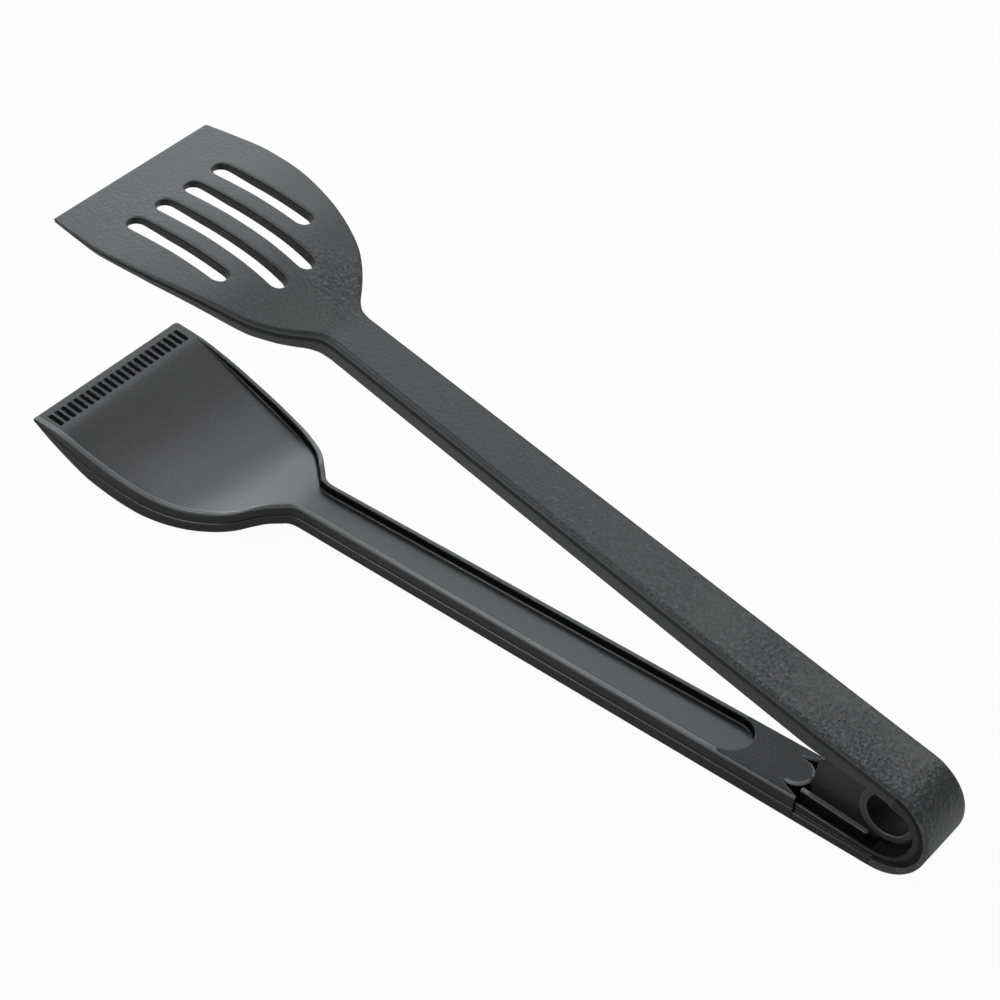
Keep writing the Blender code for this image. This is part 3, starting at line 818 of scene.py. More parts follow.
@dataclass(frozen=True)
class NylonFinish:
    """Glass-filled black nylon as one of the mould's textures leaves it; some finishes also carry painted
    highlights and painted shade.
    """

    name: str
    dark: Triple
    light: Triple
    roughness: Point
    grain: Grain
    # Colour of the pale specks, painted glints on the grain's facets.
    glint_speck: Triple = (0.05, 0.051, 0.053)
    specular: float = 0.5
    shade: Shade = Shade()

    IOR: ClassVar[float] = 1.53

    def build(self) -> bpy.types.Material:
        """The finished material: tone and gloss, pale specks over them as painted glints, and the grain as
        bump.

        Returns:
            The material.
        """
        material = bpy.data.materials.new(self.name)
        material.use_nodes = True
        n, link = material.node_tree.nodes, material.node_tree.links.new
        shader = n["Principled BSDF"]
        shader.inputs["Metallic"].default_value = 0.0
        shader.inputs["IOR"].default_value = self.IOR
        shader.inputs["Specular IOR Level"].default_value = self.specular
        place = n.new("ShaderNodeTexCoord")
        tone, grain = n.new("ShaderNodeGroup"), n.new("ShaderNodeGroup")
        for group, name, values in (
                (tone, "moulded_tone",
                 {"Dark": (*self.dark, 1), "Light": (*self.light, 1), "Roughness low": self.roughness[0],
                  "Roughness high": self.roughness[1], "Shade from x": self.shade.start,
                  "Shade to x": self.shade.end, "Shade": self.shade.share}),
                (grain, "moulded_grain",
                 {"Grains per metre": self.grain.per_metre, "Evenness": self.grain.evenness,
                  "Full at x": self.grain.full_at_x, "Faint at x": self.grain.faint_at_x,
                  "Faintness": self.grain.faintness, "Patch centre": self.grain.patch_centre,
                  "Patch radius": self.grain.patch_radius, "Patch boost": self.grain.patch_boost})):
            group.node_tree = Groups.get(name)
            for label, value in values.items():
                group.inputs[label].default_value = value
            link(place.outputs["Object"], group.inputs["Position"])
        specks = n.new("ShaderNodeMix")
        specks.data_type = "RGBA"
        specks.inputs[7].default_value = (*self.glint_speck, 1)
        bump = n.new("ShaderNodeBump")
        bump.inputs["Strength"].default_value = self.grain.strength
        bump.inputs["Distance"].default_value = self.grain.depth
        link(grain.outputs["Sparkle"], specks.inputs[0])
        link(tone.outputs["Colour"], specks.inputs[6])
        link(specks.outputs[2], shader.inputs["Base Color"])
        link(tone.outputs["Roughness"], shader.inputs["Roughness"])
        link(grain.outputs["Height"], bump.inputs["Height"])
        link(bump.outputs["Normal"], shader.inputs["Normal"])
        return material


# The coarse grain's round patch on the upper arm strengthens both its bumps and its painted glints.
COARSE_GRAIN = Grain(850.0, 0.0008, 1.0, 0.35, full_at_x=-0.13, faint_at_x=0.04, faintness=0.15,
                     patch_centre=(0.066, -0.013, 0.086), patch_radius=0.020, patch_boost=1.0)
EDGE_GRAIN = Grain(850.0, 0.0003, 0.5, 0.35, full_at_x=-0.06, faint_at_x=0.03, faintness=0.3)
SIDE_GRAIN = Grain(2200.0, 0.00006, 0.5, 0.7)
POLISH = Grain(2400.0, 0.00004, 0.3, 0.7)
SATIN_GRAIN = Grain(2400.0, 0.00007, 0.5, 0.7)
LAND_GRAIN = Grain(1200.0, 0.0002, 0.6, 0.5)
MATT_GRAIN = Grain(1500.0, 0.00015, 0.7, 0.7)
GROOVE_GRAIN = Grain(1500.0, 0.00010, 0.5, 0.7)


@dataclass
class Palette:
    """The finishes of the tongs, several of which carry painted highlights and painted shade in their colour.
    """

    # The outer faces' own colour, with bright pale specks as painted glints.
    grained: NylonFinish = NylonFinish(
        "nylon_grained", (0.030, 0.0308, 0.0325), (0.037, 0.0378, 0.0395), (0.38, 0.46), COARSE_GRAIN,
        glint_speck=(0.12, 0.122, 0.127))
    # Painted light: a lighter colour on the upper arm's plate edge, with painted shade bringing it down
    # towards the bend.
    grained_edge_painted_light: NylonFinish = NylonFinish(
        "nylon_grained_edge", (0.050, 0.051, 0.053), (0.057, 0.058, 0.060), (0.38, 0.46), EDGE_GRAIN,
        glint_speck=(0.09, 0.092, 0.097), shade=Shade(-0.04, -0.125, 0.63))
    # The upper arm's sides, with painted shade darkening them towards the bend.
    side: NylonFinish = NylonFinish(
        "nylon_side", (0.033, 0.0335, 0.034), (0.039, 0.0395, 0.040), (0.38, 0.46), SIDE_GRAIN,
        shade=Shade(-0.04, -0.125, 0.36))
    # Painted shade: a near-black colour for the scoop arm's sides.
    painted_shade_low_side: NylonFinish = NylonFinish(
        "nylon_low_side", (0.006, 0.006, 0.006), (0.009, 0.009, 0.009), (0.34, 0.42), SIDE_GRAIN,
        glint_speck=(0.01, 0.01, 0.01), specular=0.4)
    # Painted highlight: a pale colour for the rims' rounded tops, the ribs' tops and the ring's rounded
    # edges.
    painted_highlight: NylonFinish = NylonFinish(
        "nylon_burnished", (0.095, 0.097, 0.101), (0.115, 0.117, 0.121), (0.24, 0.30), POLISH,
        glint_speck=(0.12, 0.12, 0.12))
    # Painted highlight on the tail rails' outward slopes, fading out near the bend.
    rail: NylonFinish = NylonFinish(
        "nylon_rail", (0.095, 0.097, 0.101), (0.115, 0.117, 0.121), (0.24, 0.30), POLISH,
        glint_speck=(0.12, 0.12, 0.12), shade=Shade(-0.114, -0.134, 0.12))
    # Painted highlight: a paler colour still on the nose's rounded edge.
    painted_nose_highlight: NylonFinish = NylonFinish(
        "nylon_bead", (0.20, 0.203, 0.21), (0.24, 0.243, 0.25), (0.22, 0.28), POLISH,
        glint_speck=(0.25, 0.25, 0.25))
    # The channel's and the scoop's own satin colour; painted shade darkens the scoop's front half, under the
    # turner.
    satin: NylonFinish = NylonFinish(
        "nylon_satin", (0.022, 0.0226, 0.024), (0.028, 0.0286, 0.030), (0.33, 0.39), SATIN_GRAIN,
        glint_speck=(0.04, 0.041, 0.044), shade=Shade(0.088, 0.118, 0.28))
    # Painted shade: a dark colour for the scoop arm's rear land, the tail's and strap's sides and edges, the
    # upper arm's undercut groove and slot walls, darkening further over the turner.
    land: NylonFinish = NylonFinish(
        "nylon_land", (0.010, 0.0103, 0.011), (0.013, 0.0133, 0.014), (0.44, 0.52), LAND_GRAIN,
        glint_speck=(0.03, 0.03, 0.03), specular=0.35, shade=Shade(0.045, 0.075, 0.3))
    deep: NylonFinish = NylonFinish(
        "nylon_deep", (0.036, 0.0345, 0.0345), (0.043, 0.0415, 0.0415), (0.42, 0.52), MATT_GRAIN)
    # The upper arm's hollow underside, with painted shade darkening it towards the bend.
    hollow: NylonFinish = NylonFinish(
        "nylon_hollow", (0.022, 0.022, 0.022), (0.027, 0.027, 0.027), (0.42, 0.52), MATT_GRAIN,
        shade=Shade(-0.05, -0.125, 0.4))
    # Painted shade: near black for the insides of the tray and strap, the strap's groove and the ribs' sides.
    black: NylonFinish = NylonFinish(
        "nylon_black", (0.008, 0.008, 0.008), (0.010, 0.010, 0.010), (0.45, 0.55), MATT_GRAIN,
        glint_speck=(0.01, 0.01, 0.01), specular=0.15)
    # Painted shade: blacker still, for the comb's grooves, the channel walls' feet, the notches' walls and
    # the ring's walls.
    groove: NylonFinish = NylonFinish(
        "nylon_groove", (0.004, 0.004, 0.004), (0.006, 0.006, 0.006), (0.6, 0.7), GROOVE_GRAIN,
        glint_speck=(0.006, 0.006, 0.006), specular=0.1)
    made: dict[str, bpy.types.Material] = field(default_factory=dict)

    def material(self, finish: NylonFinish) -> bpy.types.Material:
        """The material of a finish, built once.

        Args:
            finish: The finish.

        Returns:
            Its material.
        """
        if finish.name not in self.made:
            self.made[finish.name] = finish.build()
        return self.made[finish.name]

    def dress(self, obj: bpy.types.Object, *finishes: NylonFinish) -> None:
        """Gives a moulding its finishes.

        Args:
            obj: The moulding, whose faces have the numbers of their zones.
            finishes: The finishes in the order of Zone.
        """
        zones = [face.material_index for face in obj.data.polygons]
        obj.data.materials.clear()
        for finish in finishes:
            obj.data.materials.append(self.material(finish))
        obj.data.polygons.foreach_set("material_index", zones)

    def dress_plain(self, obj: bpy.types.Object, finish: NylonFinish) -> None:
        """Gives a piece one finish all over.

        Args:
            obj: The piece.
            finish: Its finish.
        """
        obj.data.materials.clear()
        obj.data.materials.append(self.material(finish))
        obj.data.polygons.foreach_set("material_index", [0] * len(obj.data.polygons))

    def dress_where(self, obj: bpy.types.Object, finish: NylonFinish, wanted: Test) -> None:
        """Gives some faces of a piece another finish.

        Args:
            obj: The piece.
            finish: The finish of those faces.
            wanted: Whether a face with that middle and normal is one of them.
        """
        slot = len(obj.data.materials)
        obj.data.materials.append(self.material(finish))
        for face in obj.data.polygons:
            if wanted(face.center, face.normal):
                face.material_index = slot


def seat(obj: bpy.types.Object, body: str) -> None:
    """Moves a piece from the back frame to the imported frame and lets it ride.

    Args:
        obj: The piece.
        body: The body that it rides on.
    """
    obj.data.transform(Placing().back())
    obj.data.update()
    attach(obj, body)
    LOG.info("%s: %d faces on %s", obj.name, len(obj.data.polygons), body)


# Scoop arm

@dataclass
class ScoopArm(Moulding):
    """The lower moulding: scoop, channelled arm, nose, eye plate and hanging ring."""

    reach: float = 0.3009
    length: float = 0.0840
    half_width: float = 0.0337
    outline: Curve = Curve((
        (0, 0), (0.02, 0.005), (0.048, 0.04), (0.07, 0.115), (0.095, 0.195), (0.143, 0.355), (0.19, 0.49),
        (0.24, 0.595), (0.333, 0.74), (0.43, 0.837), (0.52, 0.895), (0.64, 0.938), (0.76, 0.965), (1, 1)))
    depth_rear: float = 0.00845
    depth: float = 0.00755
    plate_share: float = 0.477
    ledge_width: float = 0.00042
    rim_width: float = 0.00173
    rim_round: float = 0.0008
    rim_inner_round: float = 0.00035
    step_share: float = 0.9
    corner_share: float = 0.1
    channel_rear: float = 0.0618
    channel_depth: float = 0.00295
    channel_end_reach: float = 0.007
    channel_end_rings: int = 18
    rim_dip: float = 0.0048
    lip_rise: float = 0.00435
    lip_thickness: float = 0.0011
    belly_drop: float = 0.0051
    bowl: float = 0.0008
    rim_fall_to_lip: float = 0.0760
    dip_to_lip: float = 0.0520
    belly_start_to_lip: float = 0.0830
    belly_to_lip: float = 0.0460
    floor_end_to_lip: float = 0.0086
    least_well: float = 0.00004
    neck_flow: float = 0.008
    far_trim: float = 0.0025
    far_trim_length: float = 0.0280
    far_corner: float = 0.0017
    lip_start: float = 0.011
    lip_step: float = 0.00085
    lip_places: tuple[float, ...] = (0.0017, 0.0013, 0.0009, 0.0006, 0.00035)
    end_x: float = 0.0411
    nose_radius: float = 0.0054
    notch_length: float = 0.0068
    notch_mouth: float = 0.0026
    notch_floor: float = 0.0015
    notch_overrun: float = 0.003
    notch_above: tuple[Point, ...] = ((0.0001, 0.0), (0.0012, 0.0003))
    notch_wrap: float = 0.95
    notch_tip_spread: float = 0.3
    nose_round: float = 0.0011
    web_half_width: float = 0.0011
    web_top: float = 0.0185
    web_foot: float = 0.0015
    web_rear: float = 0.0022
    web_front: tuple[Point, ...] = ((0.0030, 0.0035), (0.0005, 0.0075), (-0.0004, 0.0102), (-0.0006, 0.0135))
    web_corner: tuple[Point, ...] = ((-0.0009, -0.0014), (-0.0016, -0.0004), (-0.0030, 0.0))
    web_edge: float = 0.0004
    ring_radius: float = 0.0092
    ring_hole: float = 0.0068
    ring_half_width: float = 0.0044
    ring_edge: float = 0.00045
    ring_normals: Point = (0.3, 0.95)
    comb_grooves: int = 22
    comb_pitch: float = 0.00268
    comb_width: float = 0.0018
    comb_depth: float = 0.0009
    comb_length: float = 0.0055
    comb_to_lip: float = 0.0024
    comb_offset: float = 0.0010
    comb_profile: tuple[Point, ...] = ((0.0, 0.25), (0.08, 0.8), (0.25, 1.0), (0.75, 1.0), (0.92, 0.8),
                                       (1.0, 0.25))
    comb_foot: float = 0.45
    comb_brim: float = 0.95
    comb_flare: float = 1.5
    comb_brim_depth: float = 0.0001
    comb_over: float = 0.0004
    comb_least: float = 0.0002
    land_overrun: float = 0.006
    land_depth: float = 0.0004
    land_normal: float = 0.95
    notch_margin: float = 0.001
    nose_highlight_margin: float = 0.0003
    nose_highlight_normals: Point = (0.25, 0.93)
    wall_margin: float = 0.002
    wall_normal: float = 0.15
    rim_fall: Curve = Curve((
        (0, 0), (0.03, 0.003), (0.07, 0.026), (0.167, 0.15), (0.333, 0.50), (0.5, 0.735), (0.667, 0.86),
        (0.833, 0.96), (1, 1)))
    rim_rise: Curve = Curve((
        (0, 0), (0.08, 0.015), (0.15, 0.055), (0.23, 0.115), (0.42, 0.315), (0.615, 0.593), (0.81, 0.88),
        (1, 1)))
    belly_fall: Curve = Curve((
        (0, 0), (0.11, -0.10), (0.19, -0.12), (0.27, 0.02), (0.38, 0.34), (0.49, 0.57), (0.6, 0.73),
        (0.73, 0.87), (0.87, 0.96), (1, 1)))
    belly_rise: Curve = Curve((
        (0, 0), (0.11, 0.01), (0.2, 0.04), (0.33, 0.105), (0.44, 0.18), (0.546, 0.268), (0.66, 0.415),
        (0.763, 0.57), (0.87, 0.745), (1, 1)))

    def rim_height(self, x: float) -> float:
        """Height of the rims, which dip into the scoop and rise to its lip.

        Args:
            x: Place along the arm.

        Returns:
            The height over the arm's back.
        """
        dip = self.reach - self.dip_to_lip
        arm = mix(self.depth_rear, self.depth, share_along(x, self.end_x, self.start()))
        fall = self.rim_fall.at(share_along(x, self.reach - self.rim_fall_to_lip, dip))
        rise = self.rim_rise.at(share_along(x, dip, self.reach))
        return arm - self.rim_dip * fall + (self.rim_dip + self.lip_rise) * rise

    def back_height(self, x: float) -> float:
        """Height of the back along its edge.

        Args:
            x: Place along the arm.

        Returns:
            The height, which is negative under the scoop's belly.
        """
        belly = self.reach - self.belly_to_lip
        lip_back = self.depth + self.lip_rise - self.lip_thickness
        fall = self.belly_fall.at(share_along(x, self.reach - self.belly_start_to_lip, belly))
        rise = self.belly_rise.at(share_along(x, belly, self.reach))
        return -self.belly_drop * fall + (self.belly_drop + lip_back) * rise

    def well(self, x: float) -> float:
        """Depth of the channel, which fades out towards the lip."""
        fade = share_along(x, self.reach - self.dip_to_lip, self.reach - self.floor_end_to_lip)
        return max(self.channel_depth * (1 - fade * fade), self.least_well)

    def floor_height(self, x: float) -> float:
        """Height of the channel's floor along its sides, which flows evenly from the arm into the scoop.

        Args:
            x: Place along the arm.

        Returns:
            The height, from the rims' mean height nearby.
        """
        dip = self.reach - self.dip_to_lip
        window = self.neck_flow * (1 - ease(share_along(x, dip - 2 * self.neck_flow, dip)))
        shifts = [window * i / 4 for i in range(-4, 5)]
        mean = sum(self.rim_height(x + shift) for shift in shifts) / len(shifts)
        return min(mean - self.well(x), self.rim_height(x) - self.least_well)

    def section(self, x: float) -> Section:
        """Cross-section of the arm.

        Args:
            x: Place along the arm.

        Returns:
            The section, with depths from the back.
        """
        depth, plate, slant = self.rim_height(x) - self.back_height(x), self.plate_half(x), self.slant(x)
        web = plate - self.ledge_width * self.ledge_share(depth, self.depth) * slant
        sag = self.bowl * math.sin(math.pi * share_along(x, self.start(), self.reach))
        return Section(plate, web, web - self.rim_width * slant, depth * self.plate_share, depth,
                       self.floor_height(x) - self.back_height(x), slant, sag + Section.sag,
                       sag + Section.floor_sag, step_round=self.step_share * self.ledge_width,
                       corner_round=self.corner_share * self.ledge_width, rim_round=self.rim_round,
                       inner_round=self.rim_inner_round)

    def far_share(self, x: float) -> float:
        """Width of the far half over the near half's. The far edge is drawn in and its corner is round.

        Args:
            x: Place along the arm.

        Returns:
            The share, which is 1 along the arm.
        """
        end = self.reach - self.far_corner
        trim = self.far_trim * share_along(x, self.reach - self.far_trim_length, end) ** 1.5
        beyond = max(x - end, 0.0)
        corner = self.far_corner - math.sqrt(max(self.far_corner ** 2 - beyond ** 2, 0.0))
        return 1 - (trim + corner) / self.plate_half(x)

    def channel_end(self) -> tuple[float, float]:
        """Where the centre of the channel's round rear end lies, and its radius."""
        radius = self.section(self.channel_rear + self.channel_end_reach).room
        return self.channel_rear + radius, radius

    def rear_rings(self, skin: Skin) -> None:
        """Rings round the channel's round rear end: each runs from the floor out to the arm's side.

        Args:
            skin: The surface that gets them.
        """
        centre, radius = self.channel_end()
        at_end = self.section(centre)
        stretch = radius / at_end.room
        walls = at_end.inside()
        foot, depth = walls[-1]
        for k in range(self.channel_end_rings):
            turn = QUARTER * k / self.channel_end_rings
            x_side = mix(self.end_x, centre, k / self.channel_end_rings)
            near = [Vector((x_side, y, self.back_height(x_side) + d))
                    for y, d in self.section(x_side).outside()]
            for rho, d in walls:
                x = centre - rho * stretch * math.cos(turn)
                near.append(Vector((x, rho * stretch * math.sin(turn), self.rim_height(x) - at_end.rim + d)))
            x = centre - foot * stretch * math.cos(turn)
            for j in range(1, Section.FLAT + 1):
                share = 1 - j / Section.FLAT
                sink = at_end.floor_sag * (1 - share ** 2)
                near.append(Vector((x, foot * stretch * math.sin(turn) * share,
                                    self.rim_height(x) - at_end.rim + depth - sink)))
            skin.ring(near)

    def ring_at(self, skin: Skin, x: float, inset: float = 0.0) -> None:
        """One ring of the arm.

        Args:
            skin: The surface that gets it.
            x: Place along the arm.
            inset: How far it is drawn in all round.
        """
        section, back = self.section(x), self.back_height(x)
        near, far = [], []
        for y, d in section.half():
            d = d + inset * (1 if d < section.rim / 2 else -1)
            narrow = 1 - inset / section.plate
            near.append(Vector((x, y * narrow, back + d)))
            far.append(Vector((x, -y * narrow * self.far_share(x), back + d)))
        skin.ring(near, far)

    def notches(self) -> bpy.types.Object:
        """Cutter of the two notches beside the nose, which rounds its upper edge too.

        Returns:
            The cutter.
        """
        bm = bmesh.new()
        outside_x, centre = self.end_x - self.notch_overrun, self.end_x + self.nose_radius
        slope = self.notch_mouth / self.notch_length
        soft, last = self.nose_round, math.pi * self.notch_wrap
        levels = [(self.notch_floor, 0.0)]
        levels += [(self.depth_rear - soft * (1 - math.sin(a)), soft * (1 - math.cos(a)))
                   for a in (math.radians(v) for v in range(0, 90, 15))]
        levels += [(self.depth_rear + over, soft + wider) for over, wider in self.notch_above]
        for side in (-1, 1):
            rings = []
            for z, grow in levels:
                radius = self.nose_radius - grow
                arc = [(centre + radius * math.cos(a), radius * math.sin(a))
                       for a in (QUARTER + (last - QUARTER) * i / 16 for i in range(17))]
                tip = (self.end_x + self.notch_length + grow,
                       self.nose_radius + grow * self.notch_tip_spread)
                mouth = self.nose_radius + self.notch_mouth + slope * self.notch_overrun + grow
                outline = [tip] + arc + [(outside_x, arc[-1][1]), (outside_x, mouth)]
                rings.append([bm.verts.new((x, side * y, z)) for x, y in outline])
            sew(bm, rings)
        return object_from("notches", bm)

    def comb(self) -> bpy.types.Object:
        """Cutter of the comb's short grooves behind the lip.

        Returns:
            The cutter.
        """
        bm = bmesh.new()
        front = self.reach - self.comb_to_lip
        for i in range(self.comb_grooves):
            y = self.comb_offset + self.comb_pitch * (i - (self.comb_grooves - 1) / 2)
            rings = []
            for share, sunk in self.comb_profile:
                x = front - self.comb_length * (1 - share)
                top, half = self.rim_height(x), self.comb_width / 2
                foot = (half * self.comb_foot, top - self.comb_depth * sunk)
                brim = (half * self.comb_brim, top - self.comb_brim_depth)
                over = (half * self.comb_flare, top + self.comb_over)
                outline = [(-foot[0], foot[1]), foot, brim, over, (-over[0], over[1]), (-brim[0], brim[1])]
                rings.append([bm.verts.new((x, y + a, z)) for a, z in outline])
            sew(bm, rings)
        return object_from("comb", bm)

    def in_comb(self, centre: Vector, normal: Vector) -> bool:
        """Whether a face is a wall or the bottom of a comb groove.

        Args:
            centre: The face's middle.
            normal: Its normal.

        Returns:
            True in a groove.
        """
        front, half = self.reach - self.comb_to_lip, self.comb_pitch * self.comb_grooves / 2
        under = self.rim_height(centre.x) - centre.z
        return (abs(centre.y - self.comb_offset) < half and front - self.comb_length < centre.x < front
                and self.comb_least < under < self.comb_depth + self.comb_brim_depth
                and (abs(normal.y) > 0.5 or under > self.comb_depth / 2))

    def build_arm(self) -> bpy.types.Object:
        """The arm and the scoop as one surface, with nose and comb.

        Returns:
            The arm, its faces numbered by zone.
        """
        skin = Skin("scoop_arm")
        self.rear_rings(skin)
        centre, _ = self.channel_end()
        run, lip = self.start() + self.NECK_RUN, self.reach
        self.rings_to_lip(skin, self.places_to_head(centre)
                          + steps(run, lip - self.lip_start, self.HEAD_STEP)[:-1]
                          + steps(lip - self.lip_start, lip - self.lip_places[0], self.lip_step)[:-1]
                          + [lip - place for place in self.lip_places])
        # The near rim's flat top takes a painted highlight; on the far half that column takes the inner
        # finish instead.
        skin.close(((0, Zone.OUTER), (Column.STEP - 1, Zone.SIDE), (Column.STEP, Zone.RIDGE),
                    (Column.CORNER - 1, Zone.SIDE), (Column.RIM, Zone.EDGE), (Column.INNER_RIM, Zone.INNER),
                    (Column.FOOT - 1, Zone.GROOVE), (Column.FOOT + 1, Zone.INNER)), first=False,
                   far_without_highlight=(Column.INNER_RIM - 1,))
        self.close_rear(skin)
        arm = skin.finish()
        carve(arm, self.notches())
        carve(arm, self.comb())
        # The comb's grooves take the groove zone's painted shade.
        mark(arm, Zone.GROOVE, self.in_comb)
        return arm

    @staticmethod
    def close_rear(skin: Skin) -> None:
        """Closes the rear end, with a flat triangle on top between the channel's end and the arm's end.

        Args:
            skin: The surface.
        """
        ring, outer = skin.rings[0], Column.INNER_RIM
        near = ring[:outer]
        far = [ring[0]] + list(reversed(ring))[:outer - 1]
        faces = [skin.bm.faces.new(list(reversed(near)) + far[1:]),
                 skin.bm.faces.new((near[-1], far[-1], ring[outer]))]
        for face in faces:
            face.material_index = Zone.INNER.value
        bmesh.ops.triangulate(skin.bm, faces=[faces[0]])

    def build_web(self) -> bpy.types.Object:
        """The upright eye plate from the nose to the hanging ring, with rounded edges.

        Returns:
            The plate.
        """
        radius, middle = ARM.bend_radius, (self.ring_radius + self.ring_hole) / 2
        rear = radius + self.web_rear
        high = math.asin((self.web_top - radius) / middle)
        low = -math.acos((rear - radius) / middle)
        outline = [(rear, self.web_foot), (self.end_x + self.web_front[0][0], self.web_foot)]
        outline += [(self.end_x + x, z) for x, z in self.web_front]
        outline += [(self.end_x + x, self.web_top + z) for x, z in self.web_corner]
        outline += [(radius + middle * math.cos(a), radius + middle * math.sin(a))
                    for a in (mix(high, low, i / 12) for i in range(13))]
        return slab("eye_plate", outline, self.web_half_width, self.web_edge)

    def build_ring(self) -> bpy.types.Object:
        """The hanging ring: a turned band with rounded edges.

        Returns:
            The ring.
        """
        bm = bmesh.new()
        radius, soft, count = ARM.bend_radius, self.ring_edge, 96
        profile = []
        for cx, cy, first in ((self.ring_radius - soft, self.ring_half_width - soft, 0),
                              (self.ring_hole + soft, self.ring_half_width - soft, 1),
                              (self.ring_hole + soft, -self.ring_half_width + soft, 2),
                              (self.ring_radius - soft, -self.ring_half_width + soft, 3)):
            for i in range(5):
                a = QUARTER * (first + i / 4)
                profile.append((cx + soft * math.cos(a), cy + soft * math.sin(a)))
        rings = []
        for a in (2 * math.pi * k / count for k in range(count)):
            rings.append([bm.verts.new((radius + r * math.cos(a), y, radius + r * math.sin(a)))
                          for r, y in profile])
        for before, after in zip(rings, rings[1:] + rings[:1]):
            band(bm, before, after)
        return object_from("hanging_ring", bm)

    def dress_arm(self, arm: bpy.types.Object, palette: Palette) -> None:
        """Dresses the arm by its zones, then its rear land with painted shade, the nose's rounding with a
        painted highlight and the notches' walls with painted shade.

        Args:
            arm: The arm in the back frame.
            palette: The finishes.
        """
        notch_end = self.end_x + self.notch_length + self.notch_margin
        land_end = self.channel_rear + self.land_overrun
        nose_highlight_side = self.nose_radius + self.notch_mouth + self.nose_highlight_margin
        wall_side = self.nose_radius + self.wall_margin
        nose_highlight_low, nose_highlight_high = self.nose_highlight_normals
        # Zones: the sides and the channel walls' feet get near-black painted shade, the rims' tops a painted
        # highlight; the ridge and the insides keep the satin colour.
        palette.dress(arm, palette.grained, palette.painted_shade_low_side, palette.satin, palette.groove,
                      palette.painted_highlight, palette.satin)
        palette.dress_where(arm, palette.land, lambda c, n: c.x < land_end and n.z > self.land_normal
                            and self.rim_height(c.x) - c.z < self.land_depth)
        palette.dress_where(arm, palette.painted_nose_highlight, lambda c, n: c.x < notch_end and nose_highlight_low < n.z < nose_highlight_high
                            and abs(c.y) < nose_highlight_side)
        palette.dress_where(arm, palette.groove, lambda c, n: c.x < notch_end
                            and abs(n.z) <= self.wall_normal and abs(c.y) < wall_side)

    def build(self, palette: Palette) -> None:
        """The whole moulding, dressed and in place.

        Args:
            palette: The finishes.
        """
        arm = self.build_arm()
        even_normals(arm)
        self.dress_arm(arm, palette)
        seat(arm, "tail_body")
        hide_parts("lower_arm")
        web, ring = self.build_web(), self.build_ring()
        for piece in (web, ring):
            even_normals(piece)
            palette.dress_plain(piece, palette.deep)
            if piece is ring:
                low, high = self.ring_normals
                # The ring's walls get painted shade and its rounded edges a painted highlight.
                palette.dress_where(piece, palette.groove, lambda c, n: abs(n.y) < low)
                palette.dress_where(piece, palette.painted_highlight, lambda c, n: low <= abs(n.y) < high)
            seat(piece, "tail_body")


# Spring moulding: tail tray, U-bend, arm and turner

